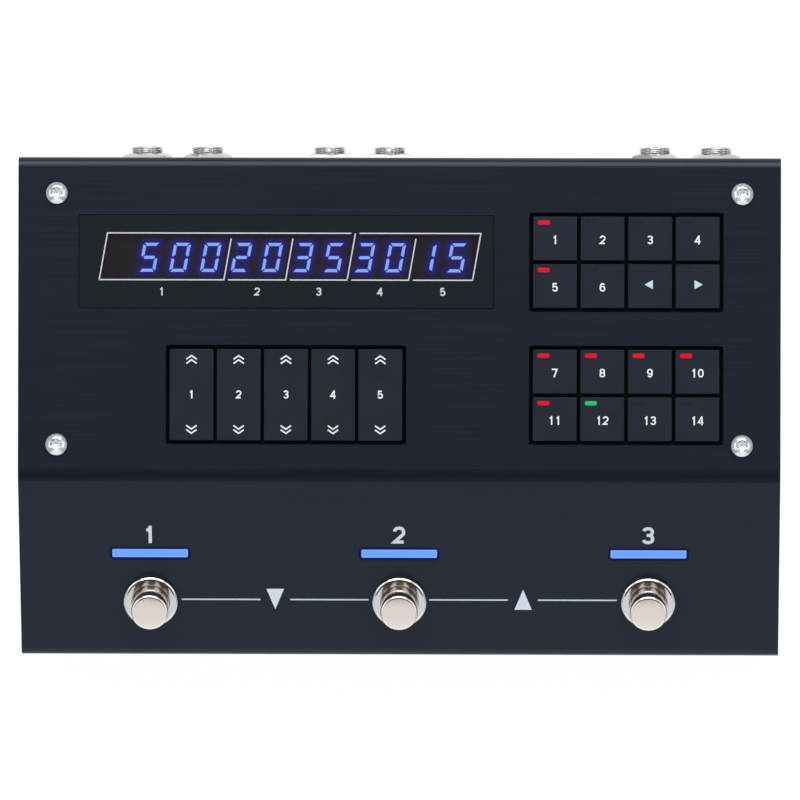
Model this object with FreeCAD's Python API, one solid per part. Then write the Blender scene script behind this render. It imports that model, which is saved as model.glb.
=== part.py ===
import FreeCAD
import Part
import math
import os

# A floor-standing digital delay pedal: a bent sheet cover with a level deck and a
# sloping foot panel, over a sheet chassis that carries the board and the rear sockets.
# Millimetres. X to the right, Y to the rear, Z up. The origin is on the floor, in the
# middle of the whole outline, jack noses included.

V = FreeCAD.Vector

# Overall size: the width is the display, the key block, the strip between them and
# the strip beside each
left_strip = 20.95
middle_strip = 13.55
right_strip = 21.3
deck_depth = 110.55
slope_depth = 62.95
jack_reach = 4.6
height = 65.0
foot_height = 4.0

# Top cover: one bent sheet
cover_sheet = 1.6
slope_angle = 22.0
rear_bend = 3.3
deck_bend = 12.5
front_bend = 3.4
foot_bend = 2.2
rear_lip = 5.0
cover_foot_flange = 14.0

# Base chassis: a bent sheet tray with flanges under the cover
base_sheet = 1.2
base_bend = 2.0
side_inset = 0.3
cover_gap = 0.3
rear_butt_gap = 0.4
front_lip = 12.0
side_flange = 8.0
rear_flange = 6.0
flange_front_end = 8.0

# Button head screws that hold the cover
screw_radius = 2.0
screw_head_radius = 3.8
screw_head_height = 2.2
screw_crown_radius = 2.35
screw_bulge = 0.4
screw_length = 8.0
screw_hole_gap = 0.2
thread_gap = 0.05
drive_radius = 1.95
drive_lobe_radius = 0.55
drive_depth = 1.3
deck_screw_inset_x = 13.4
deck_screw_rear_inset = 12.6
deck_screw_front_inset = 10.55
tab_length = 15.0
tab_reach = 4.9
collar_wall = 1.5
collar_length = 3.0
bottom_screw_inset_x = 36.5
bottom_screw_inset_y = 9.0

# Rubber feet, pushed into the bottom
foot_radius = 10.0
foot_inset_x = 18.0
foot_inset_y = 22.0
foot_stem_radius = 3.0
foot_knob_radius = 4.2
foot_knob_height = 1.4
foot_gap = 0.05
foot_edge = 1.0

# Places of the two rows on the deck
row_spacing = 46.25
rows_forward = 4.15

# Keys
key_size = 15.2
key_pitch = 16.5
key_columns = 4
key_rows = 2
key_proud = 0.9
key_travel = 0.8
key_height = 4.4
key_top_wall = 1.6
key_side_wall = 1.2
key_corner = 0.45
key_edge = 0.2
well_margin = 1.25
well_corner = 0.6
well_edge = 0.25
stem_size = 5.0
stem_gap = 0.2
hook_reach = 0.7
hook_width = 3.0
hook_height = 0.9
hook_gap = 0.1
press_gap = 0.3
tip_gap = 0.2
lens_length = 4.4
lens_width = 1.8
lens_from_side = 1.5
lens_from_rear = 1.2
lens_guide = 1.0

# Moulded frames under the wells
frame_wall = 1.2
frame_setback = 0.3
frame_floor = 1.5
light_hole_radius = 1.3

# Rocker keys on one axle
rocker_count = 5
rocker_pitch = 16.4
rocker_length = 31.7
rocker_tilt = 2.4
axle_radius = 1.0
axle_running_gap = 0.05
axle_below_floor = 1.0
axle_seat = 0.6
lug_thickness = 1.6
lug_spread = 9.0
lug_radius = 1.9
pusher_arm = 11.0
pusher_size = 3.6
slot_gap = 0.6
slot_end_gap = 0.8
web_thickness = 3.0
web_length = 6.0
web_drop = 2.2

# Tact switches, lamps and the board under the deck
tact_size = 6.0
tact_height = 3.0
tact_button_radius = 1.7
tact_button_height = 0.5
led_length = 1.6
led_width = 0.8
led_height = 0.8
board_thickness = 1.6
panel_board_inset_x = 17.5
panel_board_front_reach = 21.7
panel_board_rear_reach = 27.2

# Display
window_length = 144.5
window_width = 32.8
window_gap = 0.3
window_recess = 0.3
window_flange = 2.0
window_flange_thickness = 1.2
digit_count = 12
digit_pitch = 10.7
digits_per_module = 4
digit_centre_shift_x = 0.5
digit_centre_shift_y = 1.4
module_width = 19.0
module_gap = 0.2
digit_gap = 1.0

# Footswitches on the slope
footswitch_spacing = 86.9
footswitch_down_slope = 47.5
plunger_radius = 6.5
plunger_proud = 11.0
plunger_travel = 3.0
plunger_edge = 0.5
plunger_gap = 0.1
plunger_collar = 0.9
plunger_collar_height = 1.7
bushing_radius = 8.0
bushing_rise = 1.4
bushing_shoulder = 1.3
bushing_shoulder_height = 1.5
bushing_drop = 12.4
panel_hole_gap = 0.2
bezel_radius = 9.4
bezel_rim = 1.2
bezel_bevel = 0.45
bezel_shelf = 0.8
bezel_shelf_rise = 0.35
bezel_edge = 0.3
bezel_thread_gap = 0.05
switch_body_size = 19.0
switch_body_wall = 1.5
spring_radius = 5.5
spring_wire = 1.0
spring_solid_length = 3.0

# Light bars above the footswitches
bar_length = 26.5
bar_width = 3.2
bar_corner = 0.5
bar_down_slope = 29.5
bar_gap = 0.1
bar_flange = 1.0
bar_flange_thickness = 1.2
leds_per_bar = 3
bar_led_pitch = 8.0

# Board under the slope
foot_board_end_reach = 19.1
foot_board_depth = 5.0
foot_board_upper_reach = 5.5
foot_board_lower_reach = 10.5
foot_board_hole_gap = 0.6

# Main board
main_board_height = 20.0
main_board_inset_x = 12.5
main_board_front_inset = 43.0
main_board_rear_inset = 4.0

# Hexagonal standoffs and their screws
standoff_across = 5.0
pan_screw_radius = 1.25
pan_head_radius = 2.7
pan_head_height = 1.8
pan_screw_reach = 2.6
pan_gap = 0.05
main_standoff_inset_x = 8.0
main_standoff_rear_inset = 30.0
main_standoff_front_inset = 6.0
panel_corridor_left_inset = 7.0
panel_corridor_right_inset = 6.0
panel_front_left_inset = 20.0
panel_front_right_reach = 63.3
panel_front_drop = 9.7
panel_rear_left_inset = 25.0
panel_rear_inset = 4.5
slope_post_inner_drop = 0.5
slope_post_outer_reach = 14.1
slope_post_outer_drop = 6.5

# Quarter inch jacks
jack_left_insets = [43.2, 64.5]
jack_middle_places = [-25.1, -4.0]
jack_right_insets = [43.3, 21.9]
nut_turns = [10.0, 14.5, 36.0, 35.0, 21.5, 45.0]
jack_axis_rise = 8.0
jack_hole_radius = 3.25
jack_thread_radius = 5.5
jack_thread_pitch = 1.0
jack_thread_depth = 0.5
jack_mouth_chamfer = 0.5
jack_inside_length = 4.0
jack_body_width = 16.0
jack_body_height = 14.5
jack_body_length = 26.0
jack_channel_radius = 4.6
jack_channel_length = 21.0
jack_body_setback = 0.2
nut_across = 15.0
nut_thickness = 1.9
nut_chamfer = 1.1
nut_cone_angle = 67.0
washer_radius = 7.3
washer_thickness = 0.6
thread_hole_gap = 0.15
contact_thickness = 0.4
contact_width = 3.0
contact_length = 12.0

# Other sockets in the rear panel
midi_places = [24.0, 48.0]
midi_size = 20.0
midi_axis_rise = 10.0
midi_body_length = 12.5
midi_face_radius = 7.5
midi_mouth_radius = 6.9
midi_mouth_depth = 1.6
midi_groove_radius = 6.7
midi_groove_width = 1.2
midi_groove_depth = 7.0
midi_pin_circle = 4.45
midi_pin_radius = 0.85
midi_pin_count = 5
midi_pin_spread = 45.0
socket_gap = 0.2
usb_inset = 62.5
usb_width = 8.94
usb_height = 3.26
usb_wall = 0.3
usb_length = 7.3
usb_rise = 1.8
usb_tongue_width = 6.7
usb_tongue_height = 0.7
usb_tongue_setback = 0.8
dc_inset = 20.5
dc_size = 9.0
dc_body_height = 11.0
dc_body_length = 14.0
dc_axis_rise = 6.5
dc_face_radius = 4.2
dc_hole_radius = 3.15
dc_hole_depth = 9.5
dc_pin_radius = 1.0
dc_pin_setback = 1.0
power_place = -46.5
power_body_width = 8.0
power_body_length = 12.0
power_body_height = 8.5
power_axis_rise = 5.0
power_button_size = 6.0
power_button_proud = 0.0
power_button_travel = 2.5
power_button_gap = 0.25
power_button_edge = 0.5
power_shank_size = 3.0
power_shank_reach = 3.0

# Parts on the main board, and the ribbons to the other boards
chip_size = 24.0
chip_height = 1.6
chip_inset = 68.0
converter_size = 10.0
converter_height = 1.2
converter_inset = 40.0
amplifier_length = 5.0
amplifier_width = 4.0
capacitor_radius = 4.0
capacitor_height = 10.0
capacitor_inset = 10.0
capacitor_pitch = 10.0
capacitor_row_x = 62.0
capacitor_count = 5
ribbon_width = 25.0
ribbon_thickness = 0.9
header_length = 27.0
header_width = 5.0
header_height = 3.5
ribbon_bow = 6.0
ribbon_bend = 3.0
panel_ribbon_rise = 8.3
slope_ribbon_shift = 0.45
slope_ribbon_drop = 10.5

# Levels and places that follow from the sizes above
body_depth = deck_depth + slope_depth
front_y = -(body_depth + jack_reach) / 2
rear_y = front_y + body_depth
key_block_x = (key_columns - 1) * key_pitch + key_size
key_block_y = (key_rows - 1) * key_pitch + key_size
rocker_block_x = (rocker_count - 1) * rocker_pitch + key_size
width = left_strip + window_length + middle_strip + key_block_x + right_strip
half_width = width / 2
left_group_x = -half_width + left_strip + window_length / 2
right_group_x = half_width - right_strip - key_block_x / 2
deck_screw_x = half_width - deck_screw_inset_x
bottom_screw_x = half_width - bottom_screw_inset_x
panel_board_half = half_width - panel_board_inset_x
main_board_half = half_width - main_board_inset_x
foot_board_half = footswitch_spacing + foot_board_end_reach
slope_ribbon_x = footswitch_spacing / 2 - slope_ribbon_shift
jack_places = [inset - half_width for inset in jack_left_insets]
jack_places += jack_middle_places
jack_places += [half_width - inset for inset in jack_right_insets]
usb_place = half_width - usb_inset
dc_place = dc_inset - half_width
angle = math.radians(slope_angle)
apex_y = front_y + slope_depth
front_edge_z = height - (apex_y - front_y) * math.tan(angle)
deck_under = height - cover_sheet
base_top = foot_height + base_sheet
base_half = half_width - side_inset
panel_inner_y = rear_y - base_sheet

row_middle_y = (apex_y + rear_y) / 2 - rows_forward
upper_row_y = row_middle_y + row_spacing / 2
lower_row_y = row_middle_y - row_spacing / 2
panel_board_front = lower_row_y - panel_board_front_reach
panel_board_rear = upper_row_y + panel_board_rear_reach
panel_ribbon_y = lower_row_y + panel_ribbon_rise
foot_board_upper = bar_down_slope - foot_board_upper_reach
foot_board_lower = footswitch_down_slope + foot_board_lower_reach
slope_ribbon_s = bar_down_slope + slope_ribbon_drop
main_board_front = front_y + main_board_front_inset
main_board_rear = rear_y - main_board_rear_inset
chip_y = main_board_rear - chip_inset
converter_y = main_board_rear - converter_inset
capacitor_y = main_board_front + capacitor_inset

key_top = height + key_proud
cap_bottom = key_top - key_height
floor_top = cap_bottom - key_travel - press_gap
floor_bottom = floor_top - frame_floor
hook_top = floor_bottom - hook_gap
stem_bottom = hook_top - hook_height
tact_top = stem_bottom - key_travel - tip_gap
board_top = tact_top - tact_button_height - tact_height
board_bottom = board_top - board_thickness
axle_z = floor_bottom - axle_below_floor

spring_length = plunger_travel + spring_solid_length

jack_z = main_board_height + jack_axis_rise
jack_tip_y = rear_y + jack_reach
midi_z = main_board_height + midi_axis_rise
usb_z = main_board_height + usb_rise
dc_z = main_board_height + dc_axis_rise
power_z = main_board_height + power_axis_rise


# Solids

def box(x0, x1, y0, y1, z0, z1):
    return Part.makeBox(x1 - x0, y1 - y0, z1 - z0, V(x0, y0, z0))


def block(x, y, size_x, size_y, z0, z1):
    """A box centred on x, y."""
    return box(x - size_x / 2, x + size_x / 2, y - size_y / 2, y + size_y / 2, z0, z1)


def rod(radius, z0, z1, x=0.0, y=0.0):
    return Part.makeCylinder(radius, z1 - z0, V(x, y, z0))


def tube(outer, inner, z0, z1, x=0.0, y=0.0):
    return rod(outer, z0, z1, x, y).cut(rod(inner, z0, z1, x, y))


def rod_back(radius, y0, y1, x, z):
    """A cylinder along Y."""
    return Part.makeCylinder(radius, y1 - y0, V(x, y0, z), V(0, 1, 0))


def hexagon(across, z0, z1, turn=0.0):
    corner = across / math.sqrt(3)
    points = []
    for side in range(7):
        a = math.radians(60 * side + turn)
        points.append(V(corner * math.cos(a), corner * math.sin(a), z0))
    return Part.Face(Part.makePolygon(points)).extrude(V(0, 0, z1 - z0))


def turned(profile):
    """The solid turned from a closed outline of radius and height about the Z axis."""
    points = [V(r, 0, h) for r, h in profile + profile[:1]]
    return Part.Face(Part.makePolygon(points)).revolve(V(0, 0, 0), V(0, 0, 1), 360)


def rounded_block(x, y, size_x, size_y, z0, z1, corner, edge=0.0):
    """A block with round upright corners and, if asked, a round top edge."""
    solid = block(x, y, size_x, size_y, z0, z1)
    upright = []
    for e in solid.Edges:
        if abs(e.Vertexes[0].Z - e.Vertexes[-1].Z) > (z1 - z0) / 2:
            upright.append(e)
    solid = solid.makeFillet(corner, upright)
    if edge:
        top = []
        for e in solid.Edges:
            if min(v.Z for v in e.Vertexes) > z1 - edge / 2:
                top.append(e)
        solid = solid.makeFillet(edge, top)
    return solid


def all_of(solids):
    return solids[0].fuse(solids[1:]).removeSplitter() if len(solids) > 1 else solids[0]


def less(solid, tools):
    return solid.cut(tools) if tools else solid


def moved(shape, x=0.0, y=0.0, z=0.0):
    copy = shape.copy()
    copy.translate(V(x, y, z))
    return copy


def to_rear(shape, x, y, z):
    """A shape made about the Z axis, laid so that its Z points to the rear, at x, y, z."""
    copy = shape.copy()
    copy.rotate(V(0, 0, 0), V(1, 0, 0), -90)
    copy.translate(V(x, y, z))
    return copy


def on_slope(shape):
    """A shape made about the cover's bend line, with Y up the slope and Z out of it."""
    copy = shape.copy()
    copy.rotate(V(0, 0, 0), V(1, 0, 0), slope_angle)
    copy.translate(V(0, apex_y, height))
    return copy


def slope_point(s, h):
    """Y and Z of a point on the slope's own axes."""
    y = apex_y + s * math.cos(angle) - h * math.sin(angle)
    z = height + s * math.sin(angle) + h * math.cos(angle)
    return y, z


# Bent sheets: an open path of corners in Y and Z, given a bend radius at each corner

def parallel_path(points, distance):
    """The path that runs beside another, on its right, at one distance."""
    normals = []
    for (y0, z0), (y1, z1) in zip(points, points[1:]):
        run = math.hypot(y1 - y0, z1 - z0)
        normals.append(((z1 - z0) / run, -(y1 - y0) / run))
    moved_points = [(points[0][0] + distance * normals[0][0], points[0][1] + distance * normals[0][1])]
    for (y, z), n0, n1 in zip(points[1:], normals, normals[1:]):
        share = distance / (1 + n0[0] * n1[0] + n0[1] * n1[1])
        moved_points.append((y + share * (n0[0] + n1[0]), z + share * (n0[1] + n1[1])))
    last = normals[-1]
    moved_points.append((points[-1][0] + distance * last[0], points[-1][1] + distance * last[1]))
    return moved_points


def path_edges(points, radii):
    """Lines along a path, joined by an arc of the given radius at each corner."""
    corners = [V(0, y, z) for y, z in points]
    edges = []
    start = corners[0]
    for before, corner, after, radius in zip(corners, corners[1:], corners[2:], radii):
        arriving = (corner - before).normalize()
        leaving = (after - corner).normalize()
        turn = arriving.getAngle(leaving)
        reach = radius * math.tan(turn / 2)
        first = corner - arriving * reach
        last = corner + leaving * reach
        inward = (leaving - arriving).normalize()
        middle = corner + inward * (radius / math.cos(turn / 2) - radius)
        edges.append(Part.LineSegment(start, first).toShape())
        edges.append(Part.Arc(first, middle, last).toShape())
        start = last
    edges.append(Part.LineSegment(start, corners[-1]).toShape())
    return edges


def bent_sheet(points, radii, thickness, x0, x1):
    """A sheet whose outer face follows the path, with its thickness on the right of it."""
    inner = parallel_path(points, thickness)
    turns = []
    for (ya, za), (yb, zb), (yc, zc) in zip(points, points[1:], points[2:]):
        turns.append((yb - ya) * (zc - zb) - (zb - za) * (yc - yb))
    inner_radii = []
    for radius, turn in zip(radii, turns):
        inner_radii.append(radius - thickness if turn < 0 else radius + thickness)
    outer_edges = path_edges(points, radii)
    inner_edges = path_edges(inner, inner_radii)
    ends = []
    for (y0, z0), (y1, z1) in ((points[0], inner[0]), (points[-1], inner[-1])):
        ends.append(Part.LineSegment(V(0, y0, z0), V(0, y1, z1)).toShape())
    wire = Part.Wire(Part.__sortEdges__(outer_edges + inner_edges + ends))
    face = Part.Face(wire)
    face.translate(V(x0, 0, 0))
    return face.extrude(V(x1 - x0, 0, 0))


# Places of repeated things

def key_centres(y):
    """Centres of a block of keys, from the rear left, row by row."""
    places = []
    for row in range(key_rows):
        for column in range(key_columns):
            key_x = right_group_x + (column - (key_columns - 1) / 2) * key_pitch
            key_y = y - (row - (key_rows - 1) / 2) * key_pitch
            places.append((key_x, key_y))
    return places


def rocker_centres():
    places = []
    for index in range(rocker_count):
        places.append(left_group_x + (index - (rocker_count - 1) / 2) * rocker_pitch)
    return places


def lens_centre(key_x, key_y):
    lens_x = key_x - key_size / 2 + lens_from_side + lens_length / 2
    lens_y = key_y + key_size / 2 - lens_from_rear - lens_width / 2
    return lens_x, lens_y


def deck_screw_places():
    places = []
    for x in (-deck_screw_x, deck_screw_x):
        for y in (rear_y - deck_screw_rear_inset, apex_y + deck_screw_front_inset):
            places.append((x, y))
    return places


def bottom_screw_places():
    y = front_y + bottom_screw_inset_y
    return [(-bottom_screw_x, y), (0.0, y), (bottom_screw_x, y)]


def foot_places():
    places = []
    for x in (-half_width + foot_inset_x, half_width - foot_inset_x):
        for y in (front_y + foot_inset_y, rear_y - foot_inset_y):
            places.append((x, y))
    return places


def footswitch_places():
    return [-footswitch_spacing, 0.0, footswitch_spacing]


def panel_posts():
    front = lower_row_y - panel_front_drop
    rear = panel_board_rear - panel_rear_inset
    corridor_x = right_group_x - (key_block_x + middle_strip) / 2
    return [
        (-panel_board_half + panel_corridor_left_inset, row_middle_y),
        (left_group_x, row_middle_y),
        (corridor_x, row_middle_y),
        (panel_board_half - panel_corridor_right_inset, row_middle_y),
        (-panel_board_half + panel_front_left_inset, front),
        (left_group_x + panel_front_right_reach, front),
        (-panel_board_half + panel_rear_left_inset, rear),
        (right_group_x, rear),
    ]


def main_posts():
    places = []
    side_x = main_board_half - main_standoff_inset_x
    for x in (-side_x, 0.0, side_x):
        for y in (main_board_front + main_standoff_front_inset,
                  main_board_rear - main_standoff_rear_inset):
            places.append((x, y))
    return places


def slope_posts():
    inner = -bar_down_slope - slope_post_inner_drop
    outer = -footswitch_down_slope - slope_post_outer_drop
    outer_x = footswitch_spacing + slope_post_outer_reach
    return [
        (-outer_x, outer),
        (-footswitch_spacing / 2, inner),
        (footswitch_spacing / 2, inner),
        (outer_x, outer),
    ]


# Top cover

def cover_path():
    return [
        (rear_y, height - rear_lip),
        (rear_y, height),
        (apex_y, height),
        (front_y, front_edge_z),
        (front_y, base_top),
        (front_y + cover_foot_flange, base_top),
    ]


def well(x, y, size_x, size_y):
    """The cutter for an opening in the deck, wider by the edge's chamfer at the top."""
    opening = rounded_block(x, y, size_x, size_y, deck_under - cover_sheet, height + cover_sheet, well_corner)
    outlines = []
    for grow in (0.0, 2 * well_edge):
        flat = rounded_block(x, y, size_x + 2 * grow, size_y + 2 * grow, 0, 1, well_corner + grow)
        face = [f for f in flat.Faces if f.CenterOfMass.z < 1e-6][0]
        outlines.append(moved(face.OuterWire, 0, 0, height - well_edge + grow))
    return opening.fuse(Part.makeLoft(outlines, True, True))


def top_cover():
    path = cover_path()
    radii = [rear_bend, deck_bend, front_bend, foot_bend]
    # The path runs from the rear over the top to the front, so its left is the inside.
    mirrored = [(-y, z) for y, z in path]
    sheet = bent_sheet(mirrored, radii, cover_sheet, -half_width, half_width)
    sheet = sheet.mirror(V(0, 0, 0), V(0, 1, 0))
    cuts = []
    for y in (upper_row_y, lower_row_y):
        cuts.append(well(right_group_x, y, key_block_x + 2 * well_margin, key_block_y + 2 * well_margin))
    cuts.append(well(left_group_x, lower_row_y,
                     rocker_block_x + 2 * well_margin, rocker_length + 2 * well_margin))
    cuts.append(well(left_group_x, upper_row_y, window_length, window_width))
    for x, y in deck_screw_places():
        cuts.append(rod(screw_radius + screw_hole_gap, deck_under - cover_sheet, height + cover_sheet, x, y))
    for x, y in bottom_screw_places():
        cuts.append(rod(screw_radius + thread_gap, base_top - cover_sheet, base_top + 2 * cover_sheet, x, y))
    for side in (-1, 1):
        x0 = side * (base_half - base_sheet - cover_gap)
        x1 = side * (half_width + cover_gap)
        cuts.append(box(min(x0, x1), max(x0, x1),
                        front_y + cover_sheet + cover_gap, front_y + cover_foot_flange + cover_gap,
                        base_top - cover_gap, base_top + cover_sheet + cover_gap))
    for x in footswitch_places():
        hole = rod(bushing_radius + panel_hole_gap, -2 * cover_sheet, cover_sheet, x, -footswitch_down_slope)
        slot = rounded_block(x, -bar_down_slope, bar_length, bar_width,
                             -2 * cover_sheet, cover_sheet, bar_corner)
        cuts.append(on_slope(hole))
        cuts.append(on_slope(slot))
    return less(sheet, cuts)


# Base chassis

def side_wall(x0, x1):
    """One side wall, which follows the underside of the cover."""
    wall_front = front_y + cover_sheet + cover_gap
    slope_drop = (apex_y - wall_front) * math.tan(angle)
    under = cover_sheet / math.cos(angle) + cover_gap
    flat_z = deck_under
    bend_y = apex_y + cover_sheet * math.tan(angle / 2)
    bend_reach = (deck_bend - cover_sheet) * math.tan(angle / 2)
    lip_inner = rear_y - cover_sheet - cover_gap
    shoulder = rear_bend - cover_sheet
    front_top = height - slope_drop - under
    corner = (front_bend - cover_sheet) * math.tan((math.pi / 2 - angle) / 2)
    points = [
        (wall_front, foot_height),
        (rear_y, foot_height),
        (rear_y, height - rear_lip - rear_butt_gap),
        (lip_inner, height - rear_lip - rear_butt_gap),
        (lip_inner, flat_z - shoulder),
        (lip_inner - shoulder, flat_z),
        (bend_y + bend_reach, flat_z),
        (bend_y - bend_reach * math.cos(angle), flat_z - bend_reach * math.sin(angle)),
        (wall_front + corner * math.cos(angle), front_top + corner * math.sin(angle)),
        (wall_front, front_top - corner),
    ]
    outline = [V(x0, y, z) for y, z in points + points[:1]]
    return Part.Face(Part.makePolygon(outline)).extrude(V(x1 - x0, 0, 0))


def side_flange_strip(x0, x1):
    """The flange along the top of a side wall: level under the deck, then down the slope."""
    rear = rear_y - rear_flange - cover_gap
    bend_y = apex_y + cover_sheet * math.tan(angle / 2)
    front = front_y + flange_front_end
    drop = (apex_y - front) * math.tan(angle) + cover_sheet / math.cos(angle)
    path = [(-rear, deck_under), (-bend_y, deck_under), (-front, height - drop)]
    strip = bent_sheet(path, [deck_bend - cover_sheet], base_sheet, x0, x1)
    return strip.mirror(V(0, 0, 0), V(0, 1, 0))


def rear_panel_cuts():
    cuts = []
    y0 = rear_y - 2 * base_sheet
    y1 = rear_y + base_sheet
    for x in jack_places:
        cuts.append(rod_back(jack_thread_radius + thread_hole_gap, y0, y1, x, jack_z))
    for x in midi_places:
        cuts.append(rod_back(midi_face_radius + socket_gap, y0, y1, x, midi_z))
    cuts.append(rod_back(dc_face_radius + socket_gap, y0, y1, dc_place, dc_z))
    opening = power_button_size / 2 + power_button_gap
    cuts.append(box(power_place - opening, power_place + opening, y0, y1,
                    power_z - opening, power_z + opening))
    cuts.append(usb_outline(socket_gap, y0, y1))
    return cuts


def base_chassis():
    lip_y = front_y + cover_foot_flange + cover_gap
    path = [
        (lip_y, base_top + front_lip),
        (lip_y, foot_height),
        (rear_y, foot_height),
        (rear_y, height - rear_lip - rear_butt_gap),
        (rear_y - rear_flange, height - rear_lip - rear_butt_gap),
    ]
    # The tray's outer face is on the right of the path, so the sheet is laid on its left.
    flipped = [(y, -z) for y, z in path]
    tray = bent_sheet(flipped, [base_bend] * 3, base_sheet, -base_half, base_half)
    tray = tray.mirror(V(0, 0, 0), V(0, 0, 1))
    pieces = [tray]
    apron = box(-base_half, base_half, front_y + cover_sheet + cover_gap, lip_y + base_sheet,
                foot_height, base_top)
    pieces.append(apron)
    for side in (-1, 1):
        outer = side * base_half
        inner = side * (base_half - base_sheet)
        flange_end = side * (base_half - side_flange)
        pieces.append(side_wall(min(outer, inner), max(outer, inner)))
        pieces.append(side_flange_strip(min(outer, flange_end), max(outer, flange_end)))
    holes = []
    for x, y in deck_screw_places():
        side = 1 if x > 0 else -1
        x0 = side * (deck_screw_x - tab_reach)
        x1 = side * (base_half - base_sheet)
        pieces.append(box(min(x0, x1), max(x0, x1), y - tab_length / 2, y + tab_length / 2,
                          deck_under - base_sheet, deck_under))
        collar_bottom = deck_under - base_sheet - collar_length
        pieces.append(rod(screw_radius + thread_gap + collar_wall, collar_bottom, deck_under, x, y))
        holes.append(rod(screw_radius + thread_gap, collar_bottom - 1, deck_under + 1, x, y))
    for x, y in bottom_screw_places():
        holes.append(rod(screw_radius + screw_hole_gap, foot_height - 1, base_top + 1, x, y))
    for x, y in foot_places():
        holes.append(rod(foot_stem_radius + foot_gap, foot_height - 1, base_top + 1, x, y))
    return less(all_of(pieces), holes + rear_panel_cuts())


# Fasteners and feet

def button_screw():
    """A button head screw with a six-lobe recess, its head seated on Z = 0."""
    rim = V(screw_head_radius, 0, 0)
    crown = V(screw_crown_radius, 0, screw_head_height)
    top = V(0, 0, screw_head_height)
    outward = V(crown.z - rim.z, 0, rim.x - crown.x).normalize()
    bulge = (rim + crown) * (1 / 2) + outward * screw_bulge
    head = Part.Wire([
        Part.LineSegment(V(0, 0, 0), rim).toShape(),
        Part.Arc(rim, bulge, crown).toShape(),
        Part.LineSegment(crown, top).toShape(),
        Part.LineSegment(top, V(0, 0, 0)).toShape(),
    ])
    solid = Part.Face(head).revolve(V(0, 0, 0), V(0, 0, 1), 360)
    solid = solid.fuse(rod(screw_radius, -screw_length, 0))
    core = drive_radius - drive_lobe_radius
    recess_bottom = screw_head_height - drive_depth
    tools = [Part.makeCone(drive_lobe_radius, core, core / 2, V(0, 0, recess_bottom - core / 2))]
    tools.append(rod(core, recess_bottom, screw_head_height + 1))
    for lobe in range(6):
        a = math.radians(60 * lobe)
        tools.append(rod(drive_lobe_radius, recess_bottom, screw_head_height + 1,
                         core * math.cos(a), core * math.sin(a)))
    return less(solid, tools)


def cover_screws():
    screw = button_screw()
    solids = [moved(screw, x, y, height) for x, y in deck_screw_places()]
    upturned = screw.copy()
    upturned.rotate(V(0, 0, 0), V(1, 0, 0), 180)
    for x, y in bottom_screw_places():
        solids.append(moved(upturned, x, y, foot_height))
    return solids


def rubber_feet():
    solids = []
    for x, y in foot_places():
        pad = rod(foot_radius, 0, foot_height)
        pad = pad.makeChamfer(foot_edge, [e for e in pad.Edges if e.BoundBox.ZMax < foot_height / 2])
        stem = rod(foot_stem_radius, 0, base_top + foot_gap)
        knob = Part.makeCone(foot_knob_radius, foot_stem_radius, foot_knob_height,
                             V(0, 0, base_top + foot_gap))
        solids.append(moved(all_of([pad, stem, knob]), x, y))
    return solids


def hex_post(length):
    """A hexagonal standoff up from Z = 0, threaded at its lower end."""
    thread = rod(pan_screw_radius + pan_gap, 0, pan_screw_reach + pan_gap)
    return hexagon(standoff_across, 0, length).cut(thread)


def pan_screw():
    """A pan head screw that points up, its head's seat on Z = 0."""
    head = rod(pan_head_radius, -pan_head_height, 0)
    head = head.makeFillet(pan_head_height / 3, [e for e in head.Edges if e.BoundBox.ZMax < -1])
    return head.fuse(rod(pan_screw_radius, 0, board_thickness + pan_screw_reach))


def flipped_at(shape, x, y, z):
    copy = shape.copy()
    copy.rotate(V(0, 0, 0), V(1, 0, 0), 180)
    copy.translate(V(x, y, z))
    return copy


def hex_standoffs():
    solids = []
    panel_post = hex_post(deck_under - board_top)
    for x, y in panel_posts():
        solids.append(moved(panel_post, x, y, board_top))
    main_post = hex_post(main_board_height - board_thickness - base_top)
    for x, y in main_posts():
        solids.append(flipped_at(main_post, x, y, main_board_height - board_thickness))
    slope_post = hex_post(foot_board_depth - cover_sheet)
    for x, s in slope_posts():
        solids.append(on_slope(moved(slope_post, x, s, -foot_board_depth)))
    return solids


def board_screws():
    screw = pan_screw()
    solids = [moved(screw, x, y, board_bottom) for x, y in panel_posts()]
    for x, y in main_posts():
        solids.append(flipped_at(screw, x, y, main_board_height))
    for x, s in slope_posts():
        solids.append(on_slope(moved(screw, x, s, -foot_board_depth - board_thickness)))
    return solids


# Display

def display_window():
    pane = rounded_block(left_group_x, upper_row_y,
                         window_length - 2 * window_gap, window_width - 2 * window_gap,
                         deck_under, height - window_recess, well_corner - window_gap)
    flange = block(left_group_x, upper_row_y,
                   window_length + 2 * window_flange, window_width + 2 * window_flange,
                   deck_under - window_flange_thickness, deck_under)
    return pane.fuse(flange).removeSplitter()


def display_frame():
    outer_x = window_length + 2 * window_flange
    outer_y = window_width + 2 * window_flange
    top = deck_under - window_flange_thickness
    wall = block(left_group_x, upper_row_y, outer_x, outer_y, board_top, top)
    room = block(left_group_x, upper_row_y, outer_x - 2 * frame_wall, outer_y - 2 * frame_wall,
                 board_top, top)
    return wall.cut(room)


def digit_modules():
    solids = []
    length = digits_per_module * digit_pitch
    modules = digit_count // digits_per_module
    top = deck_under - window_flange_thickness - digit_gap
    for index in range(modules):
        x = left_group_x + digit_centre_shift_x + (index - (modules - 1) / 2) * length
        solids.append(block(x, upper_row_y + digit_centre_shift_y, length - module_gap, module_width,
                            board_top, top))
    return solids


# Keys

def key_cap(x, y, size_x, size_y):
    """A hollow cap, open below."""
    cap = rounded_block(x, y, size_x, size_y, cap_bottom, key_top, key_corner, key_edge)
    room = block(x, y, size_x - 2 * key_side_wall, size_y - 2 * key_side_wall,
                 cap_bottom, key_top - key_top_wall)
    return cap.cut(room)


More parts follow.
